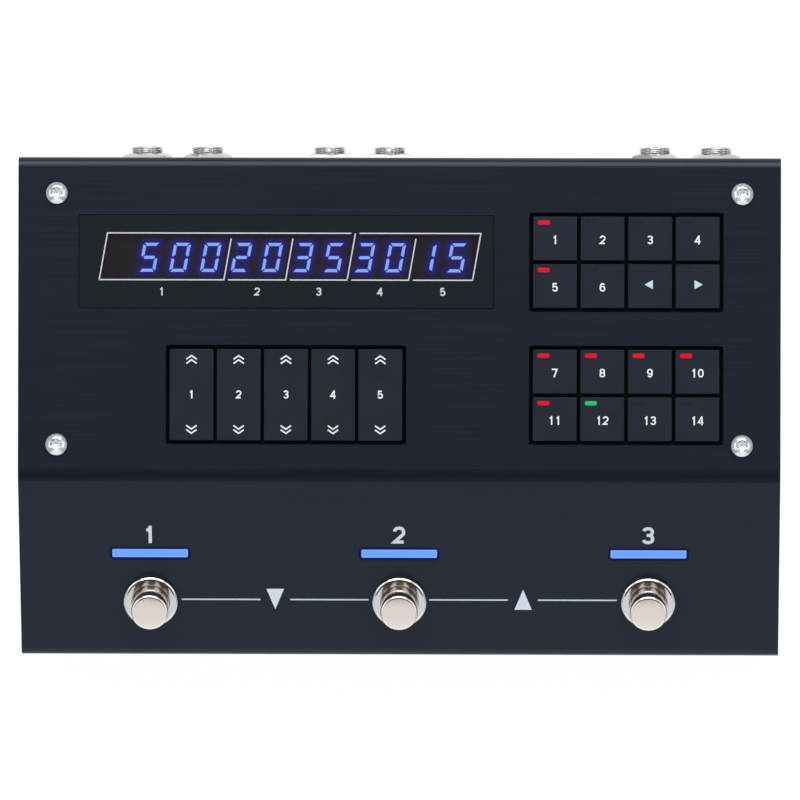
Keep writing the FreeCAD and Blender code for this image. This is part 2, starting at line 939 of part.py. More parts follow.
def key(x, y):
    """One key: the cap on its stem, with two hooks under the frame, and its lamp window."""
    lens_x, lens_y = lens_centre(x, y)
    pocket = block(lens_x, lens_y, lens_length, lens_width, key_top - key_top_wall, key_top)
    cap = key_cap(x, y, key_size, key_size).cut(pocket)
    stem = block(x, y, stem_size, stem_size, stem_bottom, key_top - key_top_wall)
    hook = block(x, y, stem_size + 2 * (stem_gap + hook_reach), hook_width, stem_bottom, hook_top)
    lens = block(lens_x, lens_y, lens_length, lens_width, key_top - key_top_wall - lens_guide, key_top)
    return [all_of([cap, stem, hook]), lens.cut(stem)]


def key_frame(y):
    """The moulded frame under one block of keys, with a guide hole for each stem."""
    inner_x = key_block_x + 2 * (well_margin + frame_setback)
    inner_y = key_block_y + 2 * (well_margin + frame_setback)
    outer = block(right_group_x, y, inner_x + 2 * frame_wall, inner_y + 2 * frame_wall,
                  board_top, deck_under)
    above = block(right_group_x, y, inner_x, inner_y, floor_top, deck_under)
    below = block(right_group_x, y, inner_x, inner_y, board_top, floor_bottom)
    cuts = [above, below]
    for key_x, key_y in key_centres(y):
        guide = stem_size + 2 * stem_gap
        cuts.append(block(key_x, key_y, guide, guide, floor_bottom, floor_top))
        lens_x, lens_y = lens_centre(key_x, key_y)
        cuts.append(rod(light_hole_radius, floor_bottom, floor_top, lens_x, lens_y))
    return less(outer, cuts)


# Rocker keys

def along_x(radius, x0, x1, y, z):
    return Part.makeCylinder(radius, x1 - x0, V(x0, y, z), V(1, 0, 0))


def rocker(x):
    """One rocker: the cap, two lugs on the axle and a pusher at each end."""
    y = lower_row_y
    cap = key_cap(x, y, key_size, rocker_length)
    under = key_top - key_top_wall
    pieces = [cap]
    for side in (-1, 1):
        lug_x = x + side * lug_spread / 2
        pieces.append(block(lug_x, y, lug_thickness, 2 * lug_radius, axle_z, under))
        pieces.append(along_x(lug_radius, lug_x - lug_thickness / 2, lug_x + lug_thickness / 2, y, axle_z))
        drop = pusher_arm * math.sin(math.radians(rocker_tilt)) + tip_gap
        pieces.append(block(x, y + side * pusher_arm, pusher_size, pusher_size, tact_top + drop, under))
    hole = along_x(axle_radius + axle_running_gap, x - key_size, x + key_size, y, axle_z)
    return all_of(pieces).cut(hole)


def rocker_frame():
    """The moulded frame under the rockers: slotted floor and upright webs that carry the axle."""
    y = lower_row_y
    inner_x = rocker_block_x + 2 * (well_margin + frame_setback)
    inner_y = rocker_length + 2 * (well_margin + frame_setback)
    outer = block(left_group_x, y, inner_x + 2 * frame_wall, inner_y + 2 * frame_wall,
                  board_top, deck_under)
    above = block(left_group_x, y, inner_x, inner_y, floor_top, deck_under)
    below = block(left_group_x, y, inner_x, inner_y, board_top, floor_bottom)
    shell = less(outer, [above, below])
    slot_x = lug_spread + lug_thickness + 2 * slot_gap
    slot_y = 2 * pusher_arm + pusher_size + 2 * slot_end_gap
    slots = [block(x, y, slot_x, slot_y, floor_bottom, floor_top) for x in rocker_centres()]
    webs = []
    web_bottom = axle_z - web_drop
    for x in rocker_centres()[1:]:
        webs.append(block(x - rocker_pitch / 2, y, web_thickness, web_length, web_bottom, floor_bottom))
    for side in (-1, 1):
        inner = left_group_x + side * (inner_x / 2 - web_thickness / 2)
        outer_face = left_group_x + side * inner_x / 2
        webs.append(box(min(inner, outer_face), max(inner, outer_face),
                        y - web_length / 2, y + web_length / 2, web_bottom, floor_bottom))
    reach = inner_x / 2 + axle_seat + axle_running_gap
    hole = along_x(axle_radius + axle_running_gap, left_group_x - reach, left_group_x + reach, y, axle_z)
    return less(all_of([less(shell, slots)] + webs), [hole])


def rocker_axle():
    reach = (rocker_block_x + 2 * (well_margin + frame_setback)) / 2 + axle_seat
    return along_x(axle_radius, left_group_x - reach, left_group_x + reach, lower_row_y, axle_z)


# Board under the deck

def tact_places():
    places = key_centres(upper_row_y) + key_centres(lower_row_y)
    for x in rocker_centres():
        for side in (-1, 1):
            places.append((x, lower_row_y + side * pusher_arm))
    return places


def tact_switches():
    solids = []
    body_top = board_top + tact_height
    for x, y in tact_places():
        solids.append(block(x, y, tact_size, tact_size, board_top, body_top))
        solids.append(rod(tact_button_radius, body_top, tact_top, x, y))
    return solids


def indicator_leds():
    solids = []
    for x, y in key_centres(upper_row_y) + key_centres(lower_row_y):
        lens_x, lens_y = lens_centre(x, y)
        solids.append(block(lens_x, lens_y, led_length, led_width, board_top, board_top + led_height))
    for x in footswitch_places():
        for index in range(leds_per_bar):
            led_x = x + (index - (leds_per_bar - 1) / 2) * bar_led_pitch
            chip = block(led_x, -bar_down_slope, led_length, led_width,
                         -foot_board_depth, led_height - foot_board_depth)
            solids.append(on_slope(chip))
    return solids


def panel_board():
    board = box(-panel_board_half, panel_board_half, panel_board_front, panel_board_rear,
                board_bottom, board_top)
    holes = [rod(pan_screw_radius + screw_hole_gap, board_bottom, board_top, x, y)
             for x, y in panel_posts()]
    return less(board, holes)


# Footswitches, made about Z with the slope's face at Z = 0

def footswitch_bore():
    return plunger_radius + plunger_gap


def footswitch_floor():
    """Height of the switch body's inner floor, under the spring."""
    return bushing_bottom() - plunger_gap - plunger_collar_height - spring_length


def bushing_bottom():
    return -cover_sheet - bushing_drop


def footswitch_plunger(x):
    top = plunger_proud
    collar_top = bushing_bottom() - plunger_gap
    collar_bottom = collar_top - plunger_collar_height
    solid = turned([
        (0.0, collar_bottom),
        (plunger_radius + plunger_collar, collar_bottom),
        (plunger_radius + plunger_collar, collar_top),
        (plunger_radius, collar_top),
        (plunger_radius, top - plunger_edge),
        (plunger_radius - plunger_edge, top),
        (0.0, top),
    ])
    return on_slope(moved(solid, x, -footswitch_down_slope))


def footswitch_nut(x):
    """The dress nut: a flange with a bevel, a shallow cone and a flat top round the plunger."""
    bore = footswitch_bore()
    thread = bushing_radius + bezel_thread_gap
    thread_top = bushing_rise + bezel_thread_gap
    shelf = bezel_radius - bezel_bevel
    shelf_height = bezel_rim + bezel_bevel
    top = shelf_height + bezel_shelf_rise
    solid = turned([
        (thread, 0.0),
        (bezel_radius, 0.0),
        (bezel_radius, bezel_rim),
        (shelf, shelf_height),
        (shelf - bezel_shelf, top),
        (bore, top),
        (bore, thread_top),
        (thread, thread_top - bezel_edge),
    ])
    return on_slope(moved(solid, x, -footswitch_down_slope))


def footswitch_bushing(x):
    bore = footswitch_bore()
    shoulder = bushing_radius + bushing_shoulder
    shoulder_bottom = -cover_sheet - bushing_shoulder_height
    solid = all_of([
        tube(bushing_radius, bore, bushing_bottom(), bushing_rise - bezel_edge),
        tube(shoulder, bore, shoulder_bottom, -cover_sheet),
    ])
    return on_slope(moved(solid, x, -footswitch_down_slope))


def footswitch_body(x):
    floor = footswitch_floor()
    top = bushing_bottom()
    room = plunger_radius + plunger_collar + plunger_gap
    solid = block(0, 0, switch_body_size, switch_body_size, floor - switch_body_wall, top)
    solid = solid.cut(rod(room, floor, top))
    return on_slope(moved(solid, x, -footswitch_down_slope))


def footswitch_spring(x):
    """The return spring's envelope, between the plunger and the body's floor."""
    floor = footswitch_floor()
    solid = tube(spring_radius, spring_radius - spring_wire, floor, floor + spring_length)
    return on_slope(moved(solid, x, -footswitch_down_slope))


def footswitch_board():
    top = -foot_board_depth
    bottom = top - board_thickness
    board = box(-foot_board_half, foot_board_half, -foot_board_lower, -foot_board_upper,
                bottom, top)
    holes = []
    for x in footswitch_places():
        holes.append(rod(bushing_radius + foot_board_hole_gap, bottom, top, x, -footswitch_down_slope))
    for x, s in slope_posts():
        holes.append(rod(pan_screw_radius + screw_hole_gap, bottom, top, x, s))
    return on_slope(less(board, holes))


def light_bar(x):
    pane = rounded_block(x, -bar_down_slope, bar_length - 2 * bar_gap, bar_width - 2 * bar_gap,
                         -cover_sheet, 0.0, bar_corner - bar_gap)
    flange = block(x, -bar_down_slope, bar_length + 2 * bar_flange, bar_width + 2 * bar_flange,
                   -cover_sheet - bar_flange_thickness, -cover_sheet)
    return on_slope(pane.fuse(flange).removeSplitter())


# Main board and what stands on it

def main_board():
    bottom = main_board_height - board_thickness
    board = box(-main_board_half, main_board_half, main_board_front, main_board_rear,
                bottom, main_board_height)
    holes = [rod(pan_screw_radius + screw_hole_gap, bottom, main_board_height, x, y)
             for x, y in main_posts()]
    return less(board, holes)


def jack_bushing():
    """The threaded nose, its mouth at Z = 0 and the panel's face at -jack_reach."""
    root = jack_thread_radius - jack_thread_depth
    back = -jack_reach - base_sheet - jack_body_setback - jack_inside_length
    nut_face = -jack_reach + washer_thickness + nut_thickness
    turns = int(-nut_face / jack_thread_pitch)
    outline = [(jack_hole_radius, back), (jack_thread_radius, back), (jack_thread_radius, nut_face)]
    for index in range(turns):
        foot = nut_face + index * jack_thread_pitch
        outline.append((root, foot + jack_thread_pitch / 2))
        outline.append((jack_thread_radius, foot + jack_thread_pitch))
    end = nut_face + turns * jack_thread_pitch
    outline.append((jack_thread_radius - jack_thread_depth, max(end, -jack_thread_depth / 2)))
    outline.append((jack_thread_radius - jack_thread_depth, 0.0))
    outline.append((jack_hole_radius + jack_mouth_chamfer, 0.0))
    outline.append((jack_hole_radius, -jack_mouth_chamfer))
    return turned(outline)


def jack_nut(turn):
    """A hexagon nut with its outer corners chamfered, seated on Z = 0."""
    corner = nut_across / math.sqrt(3)
    solid = hexagon(nut_across, 0, nut_thickness, turn)
    slant = math.tan(math.radians(nut_cone_angle))
    wide = corner + (nut_thickness - nut_chamfer) * slant
    solid = solid.common(Part.makeCone(wide, corner - nut_chamfer * slant, nut_thickness))
    return solid.cut(rod(jack_thread_radius + thread_gap, 0, nut_thickness))


def jack_body():
    """The moulded jack body along Z, its front at Z = 0, with the plug's channel inside."""
    half = jack_body_width / 2
    solid = box(-half, half, jack_axis_rise - jack_body_height, jack_axis_rise,
                -jack_body_length, 0)
    channel = rod(jack_channel_radius, -jack_channel_length, 0)
    seat = rod(jack_thread_radius, -jack_inside_length, 0)
    return less(solid, [channel, seat])


def jack_contact():
    """The tip spring along the channel's wall."""
    seat = math.sqrt(jack_channel_radius ** 2 - (contact_width / 2) ** 2)
    return box(-contact_width / 2, contact_width / 2, -seat, contact_thickness - seat,
               -jack_channel_length, -jack_channel_length + contact_length)


def at_jacks(shape, y):
    return [to_rear(shape, x, y, jack_z) for x in jack_places]


def jack_nuts():
    y = rear_y + washer_thickness
    return [to_rear(jack_nut(turn), x, y, jack_z) for x, turn in zip(jack_places, nut_turns)]


def jack_washer():
    return tube(washer_radius, jack_thread_radius + thread_hole_gap, 0, washer_thickness)


def midi_socket():
    """A round five-pin socket along Z, its face at Z = 0."""
    half = midi_size / 2
    body_front = -base_sheet - jack_body_setback
    solid = box(-half, half, -half, half, body_front - midi_body_length, body_front)
    solid = all_of([solid, rod(midi_face_radius, body_front, 0)])
    cuts = [rod(midi_mouth_radius, -midi_mouth_depth, 0)]
    cuts.append(tube(midi_groove_radius, midi_groove_radius - midi_groove_width,
                     -midi_mouth_depth - midi_groove_depth, -midi_mouth_depth))
    for index in range(midi_pin_count):
        a = math.radians(-90 + (index - (midi_pin_count - 1) / 2) * midi_pin_spread)
        cuts.append(rod(midi_pin_radius, -midi_mouth_depth - midi_groove_depth, -midi_mouth_depth,
                        midi_pin_circle * math.cos(a), midi_pin_circle * math.sin(a)))
    return less(solid, cuts)


def usb_outline(grow, y0, y1):
    """A flat-sided oval along Y, larger than the connector's shell by a margin."""
    radius = usb_height / 2 + grow
    straight = usb_width / 2 - usb_height / 2
    slab = box(usb_place - straight, usb_place + straight, y0, y1, usb_z - radius, usb_z + radius)
    ends = [rod_back(radius, y0, y1, usb_place + side * straight, usb_z) for side in (-1, 1)]
    return all_of([slab] + ends)


def usb_socket():
    back = rear_y - usb_length
    shell = usb_outline(0.0, back, rear_y).cut(usb_outline(-usb_wall, back + usb_wall, rear_y))
    tongue = box(usb_place - usb_tongue_width / 2, usb_place + usb_tongue_width / 2,
                 back + usb_wall, rear_y - usb_tongue_setback,
                 usb_z - usb_tongue_height / 2, usb_z + usb_tongue_height / 2)
    return [shell, tongue]


def dc_socket():
    """A barrel socket along Z, its face at Z = 0, with the centre pin as its own piece."""
    half = dc_size / 2
    body_front = -base_sheet - jack_body_setback
    solid = box(-half, half, dc_axis_rise - dc_body_height, dc_axis_rise,
                body_front - dc_body_length, body_front)
    solid = all_of([solid, rod(dc_face_radius, body_front, 0)])
    solid = solid.cut(rod(dc_hole_radius, -dc_hole_depth, 0))
    pin = rod(dc_pin_radius, -dc_hole_depth, -dc_pin_setback)
    return [to_rear(solid, dc_place, rear_y, dc_z), to_rear(pin, dc_place, rear_y, dc_z)]


def power_switch():
    front = panel_inner_y - jack_body_setback
    solid = box(power_place - power_body_width / 2, power_place + power_body_width / 2,
                front - power_body_length, front, main_board_height, main_board_height + power_body_height)
    guide = power_button_size / 2 + power_button_gap
    depth = base_sheet + power_button_travel + power_button_gap
    mouth = box(power_place - guide, power_place + guide, front - depth, front,
                power_z - guide, power_z + guide)
    half = power_shank_size / 2 + power_button_gap
    reach = depth + power_shank_reach + power_button_travel
    bore = box(power_place - half, power_place + half, front - reach, front,
               power_z - half, power_z + half)
    return less(solid, [mouth, bore])


def power_button():
    """The push button: a square head through the panel on a narrower shank."""
    half = power_button_size / 2
    tip = rear_y + power_button_proud
    front = panel_inner_y - jack_body_setback
    head = box(power_place - half, power_place + half, front - base_sheet, tip,
               power_z - half, power_z + half)
    edges = [e for e in head.Edges if e.BoundBox.YMin > tip - power_button_edge]
    head = head.makeFillet(power_button_edge, edges)
    side = power_shank_size / 2
    shank = box(power_place - side, power_place + side, front - base_sheet - power_shank_reach, front,
                power_z - side, power_z + side)
    return all_of([head, shank])


def board_components():
    """The processor, converters, amplifiers and capacitors on the main board."""
    top = main_board_height
    solids = [block(0, chip_y, chip_size, chip_size, top, top + chip_height)]
    for x in jack_places:
        solids.append(block(x, converter_y, converter_size, converter_size, top, top + converter_height))
        solids.append(block(x, converter_y - converter_size, amplifier_length, amplifier_width,
                            top, top + converter_height))
    for side in (-1, 1):
        for index in range(capacitor_count):
            x = side * (capacitor_row_x + index * capacitor_pitch)
            solids.append(rod(capacitor_radius, top, top + capacitor_height, x, capacitor_y))
    return solids


def ribbon_cables():
    """Two flat ribbons with a header at each end: to the board under the deck and under the slope."""
    solids = []
    low = main_board_height + header_height
    high = board_bottom - header_height
    x0 = left_group_x - ribbon_width / 2
    bow = panel_ribbon_y - ribbon_bow
    quarter = (high - low) / 4
    path = [
        (panel_ribbon_y, low),
        (panel_ribbon_y, low + quarter),
        (bow, low + 2 * quarter),
        (panel_ribbon_y, low + 3 * quarter),
        (panel_ribbon_y, high),
    ]
    solids.append(bent_sheet(path, [ribbon_bend] * 3, ribbon_thickness, x0, x0 + ribbon_width))
    header_y = panel_ribbon_y + ribbon_thickness / 2
    for z0 in (main_board_height, high):
        solids.append(block(left_group_x, header_y, header_length, header_width, z0, z0 + header_height))
    socket_top = -foot_board_depth - board_thickness
    socket = block(slope_ribbon_x, -slope_ribbon_s, header_length, header_width,
                   socket_top - header_height, socket_top)
    solids.append(on_slope(socket))
    start = slope_point(-slope_ribbon_s, socket_top - header_height)
    knee = slope_point(-slope_ribbon_s, socket_top - header_height - ribbon_bow)
    plug_y = main_board_front + header_width
    route = [start, knee, (plug_y, low + ribbon_bow), (plug_y, low)]
    x0 = slope_ribbon_x - ribbon_width / 2
    solids.append(bent_sheet(route, [ribbon_bend] * 2, ribbon_thickness, x0, x0 + ribbon_width))
    solids.append(block(slope_ribbon_x, plug_y - ribbon_thickness / 2, header_length, header_width,
                        main_board_height, low))
    return solids


# Export

def save(name, solids):
    """Write one named sub-part, after a check of each solid in it."""
    if not isinstance(solids, list):
        solids = [solids]
    clean = []
    for shape in solids:
        for solid in shape.Solids:
            clean.append(solid)
    for solid in clean:
        if not solid.isValid() or solid.Volume <= 0:
            print("not a sound solid:", name)
    shape = clean[0] if len(clean) == 1 else Part.makeCompound(clean)
    shape.exportStep("parts/" + name + ".step")
    print(name, len(clean), round(sum(s.Volume for s in clean), 1))


os.makedirs("parts", exist_ok=True)

save("top_cover", top_cover())
save("base_chassis", base_chassis())
save("cover_screws", cover_screws())
save("rubber_feet", rubber_feet())
save("hex_standoffs", hex_standoffs())
save("board_screws", board_screws())

save("display_window", display_window())
save("display_frame", display_frame())
save("digit_modules", digit_modules())

save("key_frames", [key_frame(upper_row_y), key_frame(lower_row_y)])
upper_names = ["number_key_1", "number_key_2", "number_key_3", "number_key_4",
               "bank_key_1", "bank_key_2", "left_arrow_key", "right_arrow_key"]
for name, (x, y) in zip(upper_names, key_centres(upper_row_y)):
    save(name, key(x, y))
for index, (x, y) in enumerate(key_centres(lower_row_y)):
    save("mode_key_" + str(index + 1), key(x, y))

save("rocker_frame", rocker_frame())
save("rocker_axle", rocker_axle())
for index, x in enumerate(rocker_centres()):
    save("rocker_key_" + str(index + 1), rocker(x))

save("panel_board", panel_board())
save("tact_switches", tact_switches())
save("indicator_leds", indicator_leds())

for side, x in zip(("left", "middle", "right"), footswitch_places()):
    save("footswitch_plunger_" + side, footswitch_plunger(x))
    save("footswitch_spring_" + side, footswitch_spring(x))
save("footswitch_nuts", [footswitch_nut(x) for x in footswitch_places()])
save("footswitch_bushings", [footswitch_bushing(x) for x in footswitch_places()])
save("footswitch_bodies", [footswitch_body(x) for x in footswitch_places()])
save("footswitch_board", footswitch_board())
save("light_bars", [light_bar(x) for x in footswitch_places()])

save("main_board", main_board())
save("board_components", board_components())
save("ribbon_cables", ribbon_cables())
body_y = panel_inner_y - jack_body_setback
save("jack_bodies", at_jacks(jack_body(), body_y))
save("jack_contacts", at_jacks(jack_contact(), body_y))
save("jack_bushings", at_jacks(jack_bushing(), jack_tip_y))
save("jack_washers", at_jacks(jack_washer(), rear_y))
save("jack_nuts", jack_nuts())
save("midi_sockets", [to_rear(midi_socket(), x, rear_y, midi_z) for x in midi_places])
save("usb_socket", usb_socket())
save("dc_socket", dc_socket())
save("power_switch", power_switch())
save("power_button", power_button())
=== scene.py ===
import math

import bpy
import numpy as np
from mathutils import Matrix, Vector


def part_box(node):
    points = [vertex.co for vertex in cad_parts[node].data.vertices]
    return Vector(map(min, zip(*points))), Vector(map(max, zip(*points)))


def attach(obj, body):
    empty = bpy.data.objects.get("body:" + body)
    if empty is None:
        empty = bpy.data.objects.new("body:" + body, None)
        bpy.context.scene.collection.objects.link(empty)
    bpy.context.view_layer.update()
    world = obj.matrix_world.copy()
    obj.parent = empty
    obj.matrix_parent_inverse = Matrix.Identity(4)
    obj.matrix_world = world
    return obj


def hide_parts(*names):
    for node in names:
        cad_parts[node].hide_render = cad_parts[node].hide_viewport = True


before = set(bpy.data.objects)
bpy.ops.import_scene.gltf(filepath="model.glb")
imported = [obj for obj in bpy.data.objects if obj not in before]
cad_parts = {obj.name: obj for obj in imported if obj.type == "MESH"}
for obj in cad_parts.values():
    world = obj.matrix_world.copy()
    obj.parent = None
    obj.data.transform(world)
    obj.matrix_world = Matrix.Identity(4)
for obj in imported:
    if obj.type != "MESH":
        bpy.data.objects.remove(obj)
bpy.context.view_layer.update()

# The studio: a paper sweep under a white ceiling, a large soft box at the rear, and a
# bright panel on either side. The camera's dark body hangs straight above, and its brown
# arm reaches to the front, where the wall is bright. The other walls are grey.
room_level = 0.98
wall_level = 0.55
wall_core = 66.0
wall_edge = 58.0
panel_level = 1.6
panel_lean = 60.0
panel_core = (11.0, 23.0)
panel_edge = (14.0, 28.0)
camera_level = 0.25
camera_tilt = 2.0
camera_core = 6.0
camera_edge = 12.0
camera_brown = "c8a985"
arm_level = 0.12
arm_tilt = 23.0
arm_core = (14.0, 24.0)
arm_edge = (18.0, 30.0)
front_level = 1.3
front_core = 146.0
front_edge = 138.0
box_place = (0.0, 0.84, 0.86)
box_aim = (0.0, 0.05, 0.05)
box_size = (1.5, 0.95)
box_radiance = 3.4
box_warm_white = "fff2ea"
floor_half_size = 4.0
floor_cells = 8
floor_glow = 1.03
floor_glow_share = 0.955


def linear(code, alpha=1.0):
    """An sRGB hex colour as linear red, green, blue and alpha: a channel up to 0.04045
    is divided by 12.92, and one above it is raised to 2.4 after the curve's offset."""
    channels = [int(code[i:i + 2], 16) / 255 for i in (0, 2, 4)]
    return (*[c / 12.92 if c <= 0.04045 else ((c + 0.055) / 1.055) ** 2.4
              for c in channels], alpha)


def add(tree, kind, inputs=(), **settings):
    """One node with its settings. The inputs are a dict, or a list in the sockets' order,
    and each is a constant or an output to link from."""
    node = tree.nodes.new(kind)
    for name, value in settings.items():
        setattr(node, name, value)
    for name, value in inputs.items() if isinstance(inputs, dict) else enumerate(inputs):
        if isinstance(value, bpy.types.NodeSocket):
            tree.links.new(value, node.inputs[name])
        else:
            node.inputs[name].default_value = value
    return node


def blank_material(name):
    material = bpy.data.materials.new(name)
    material.use_nodes = True
    material.node_tree.nodes.clear()
    return material


room = bpy.data.worlds.new("white_room")
bpy.context.scene.world = room
room.use_nodes = True
tree = room.node_tree
tree.nodes.clear()
direction = add(tree, "ShaderNodeSeparateXYZ", [
    add(tree, "ShaderNodeTexCoord").outputs["Generated"]]).outputs
lean, tilt = (add(tree, "ShaderNodeMath", [direction[axis], direction["Z"]],
                  operation="ARCTAN2").outputs[0] for axis in "XY")
from_zenith, from_rear = (add(tree, "ShaderNodeMath", [direction[axis]],
                              operation="ARCCOSINE").outputs[0] for axis in "ZY")


def off_middle(angle, middle):
    """How far an angle in radians lies from a middle in degrees."""
    off = add(tree, "ShaderNodeMath", [angle, math.radians(middle)], operation="SUBTRACT")
    return add(tree, "ShaderNodeMath", [off.outputs[0]], operation="ABSOLUTE").outputs[0]


def inside_angle(angle, core, edge):
    """One on the core's side of a pair of angles in degrees and nought past the edge."""
    return add(tree, "ShaderNodeMapRange", {
        "Value": angle, "From Min": math.radians(edge), "From Max": math.radians(core)},
        interpolation_type="SMOOTHSTEP").outputs["Result"]


def inside_both(first, second, core, edge):
    """The product of two angles' shares, each with its own core and edge."""
    return add(tree, "ShaderNodeMath", [inside_angle(first, core[0], edge[0]),
                                        inside_angle(second, core[1], edge[1])],
               operation="MULTIPLY").outputs[0]


in_arm = inside_both(off_middle(tilt, -arm_tilt), off_middle(lean, 0.0), arm_core, arm_edge)
in_panels = inside_both(off_middle(off_middle(lean, 0.0), panel_lean),
                        off_middle(from_rear, 90.0), panel_core, panel_edge)
bearing = add(tree, "ShaderNodeCombineXYZ", [lean, tilt]).outputs[0]
off_camera = add(tree, "ShaderNodeVectorMath", [
    bearing, (0.0, -math.radians(camera_tilt), 0.0)], operation="DISTANCE").outputs["Value"]
in_camera = inside_angle(off_camera, camera_core, camera_edge)
# The walls' angles are counted from the zenith, and the front's from the rear horizon.
level = room_level
for goal, share in ((wall_level, inside_angle(from_zenith, wall_core, wall_edge)),
                    (front_level, inside_angle(from_rear, front_core, front_edge)),
                    (arm_level, in_arm),
                    (panel_level, in_panels),
                    (camera_level, in_camera)):
    level = add(tree, "ShaderNodeMapRange", {
        "Value": share, "To Min": level, "To Max": goal}).outputs["Result"]
ray = add(tree, "ShaderNodeLightPath").outputs
for kind in ("Is Camera Ray", "Is Transmission Ray"):
    level = add(tree, "ShaderNodeMath", [level, ray[kind]], operation="MAXIMUM").outputs[0]
in_brown = add(tree, "ShaderNodeMath", [in_arm, in_camera], operation="MAXIMUM")
tint = add(tree, "ShaderNodeMixRGB", [
    in_brown.outputs[0], linear("ffffff"), linear(camera_brown)]).outputs[0]
backdrop = add(tree, "ShaderNodeBackground", {"Color": tint, "Strength": level})
add(tree, "ShaderNodeOutputWorld", {"Surface": backdrop.outputs[0]})

# A rectangular lamp: its power is its radiance times pi times its area.
lamp = bpy.data.lights.new("rear_soft_box", "AREA")
lamp.color = linear(box_warm_white)[:3]
lamp.shape = "RECTANGLE"
lamp.size, lamp.size_y = box_size
lamp.energy = box_radiance * math.pi * box_size[0] * box_size[1]
soft_box = bpy.data.objects.new("rear_soft_box", lamp)
soft_box.location = box_place
soft_box.rotation_euler = (Vector(box_aim) - Vector(box_place)).to_track_quat(
    "-Z", "Y").to_euler()
soft_box.visible_camera = False
bpy.context.scene.collection.objects.link(soft_box)

paper = blank_material("white_paper_sweep")
tree = paper.node_tree
ray = add(tree, "ShaderNodeLightPath").outputs
seen = ray["Is Camera Ray"]
for kind in ("Is Transmission Ray", "Is Glossy Ray"):
    seen = add(tree, "ShaderNodeMath", [seen, ray[kind]], operation="MAXIMUM").outputs[0]
glow_share = add(tree, "ShaderNodeMath", [seen, floor_glow_share],
                 operation="MULTIPLY").outputs[0]
sheet = add(tree, "ShaderNodeBsdfDiffuse", {"Color": linear("c4c4c4")})
glow = add(tree, "ShaderNodeEmission", {"Color": linear("ffffff"), "Strength": floor_glow})
mixed = add(tree, "ShaderNodeMixShader", [glow_share, sheet.outputs[0], glow.outputs[0]])
add(tree, "ShaderNodeOutputMaterial", {"Surface": mixed.outputs[0]})

across = np.linspace(-floor_half_size, floor_half_size, floor_cells + 1)
points = np.stack(np.meshgrid(across, across, [0.0], indexing="ij"), -1).reshape(-1, 3)
index = np.arange(len(points)).reshape(floor_cells + 1, -1)
cells = np.stack([index[:-1, :-1], index[1:, :-1], index[1:, 1:], index[:-1, 1:]], -1)
mesh = bpy.data.meshes.new("floor")
mesh.from_pydata(points.tolist(), [], cells.reshape(-1, 4).tolist())
mesh.materials.append(paper)
floor = bpy.data.objects.new("floor", mesh)
bpy.context.scene.collection.objects.link(floor)

# The camera hangs three metres above the pedal, a hair off its middle, with a long
# lens, and is turned an eighth of a degree as the photograph is.
camera_place = Vector((0.0524, -0.00191, 3.125))
camera_aim = Vector((0.00035, 0.00017, 0.065))
camera_turn = 0.0023
camera_focal_length = 396.4
camera_film_width = 36.0
back = (camera_place - camera_aim).normalized()
right = Vector((math.cos(camera_turn), math.sin(camera_turn), 0.0))
right = (right - back * right.dot(back)).normalized()
up = back.cross(right)
lens = bpy.data.cameras.new("camera")
lens.lens = camera_focal_length
lens.sensor_width = camera_film_width
lens.clip_end = 50.0
camera = bpy.data.objects.new("camera", lens)
camera.matrix_world = Matrix((
    (right.x, up.x, back.x, camera_place.x),
    (right.y, up.y, back.y, camera_place.y),
    (right.z, up.z, back.z, camera_place.z),
    (0.0, 0.0, 0.0, 1.0),
))
bpy.context.scene.collection.objects.link(camera)
bpy.context.scene.camera = camera
bpy.context.scene.view_settings.view_transform = "Standard"

# The base chassis: a bent tray of 1.2 mm sheet steel with the rear panel, powder
# coated black. The coat is satin, with the faint orange peel of cured powder.


def finish(name, colour, roughness, **sockets):
    """A material of one Principled shader, its constants set on the shader's sockets.
    Returns the material, its tree, the shader and the Object coordinates."""
    material = blank_material(name)
    tree = material.node_tree
    names = {key.replace("_", " "): value for key, value in sockets.items()}
    shader = add(tree, "ShaderNodeBsdfPrincipled", {
        "Base Color": linear(colour), "Roughness": roughness, **names})
    add(tree, "ShaderNodeOutputMaterial", {"Surface": shader.outputs[0]})
    place = add(tree, "ShaderNodeTexCoord").outputs["Object"]
    return material, tree, shader, place


def grain(tree, place, size, detail=2.0, stretch=(1.0, 1.0, 1.0)):
    """Noise whose lumps are size millimetres wide, stretched along the axes. Brush lines,
    turning marks and mould texture are finer than that on the real pieces, and are drawn
    as coarse as they need to show."""
    scaled = add(tree, "ShaderNodeMapping", {
        "Vector": place, "Scale": tuple(1.0 / s for s in stretch)}).outputs[0]
    return add(tree, "ShaderNodeTexNoise", {
        "Vector": scaled, "Scale": 1000.0 / size, "Detail": detail}).outputs[0]


def patterned(tree, shader, colour=None, roughness=None, relief=None):
    """Links a finish's patterns to its shader. Colour is a field, its dark and light
    colour and, if they differ from 0.3 and 0.7, the field's levels for them. Roughness
    is a field and its low and high value, and relief a field and its swing in mm."""
    if colour:
        field, dark, light, *levels = colour
        ramp = add(tree, "ShaderNodeValToRGB", {"Fac": field})
        for stop, position, code in zip(ramp.color_ramp.elements, levels or (0.3, 0.7),
                                        (dark, light)):
            stop.position, stop.color = position, linear(code)
        tree.links.new(ramp.outputs[0], shader.inputs["Base Color"])
    if roughness:
        field, low, high = roughness
        spread = add(tree, "ShaderNodeMapRange", {
            "Value": field, "From Min": 0.3, "From Max": 0.7,
            "To Min": low, "To Max": high})
        tree.links.new(spread.outputs[0], shader.inputs["Roughness"])
    if relief:
        field, rise = relief
        bump = add(tree, "ShaderNodeBump", {
            "Height": field, "Distance": rise / 1000.0, "Strength": 1.0})
        tree.links.new(bump.outputs[0], shader.inputs["Normal"])


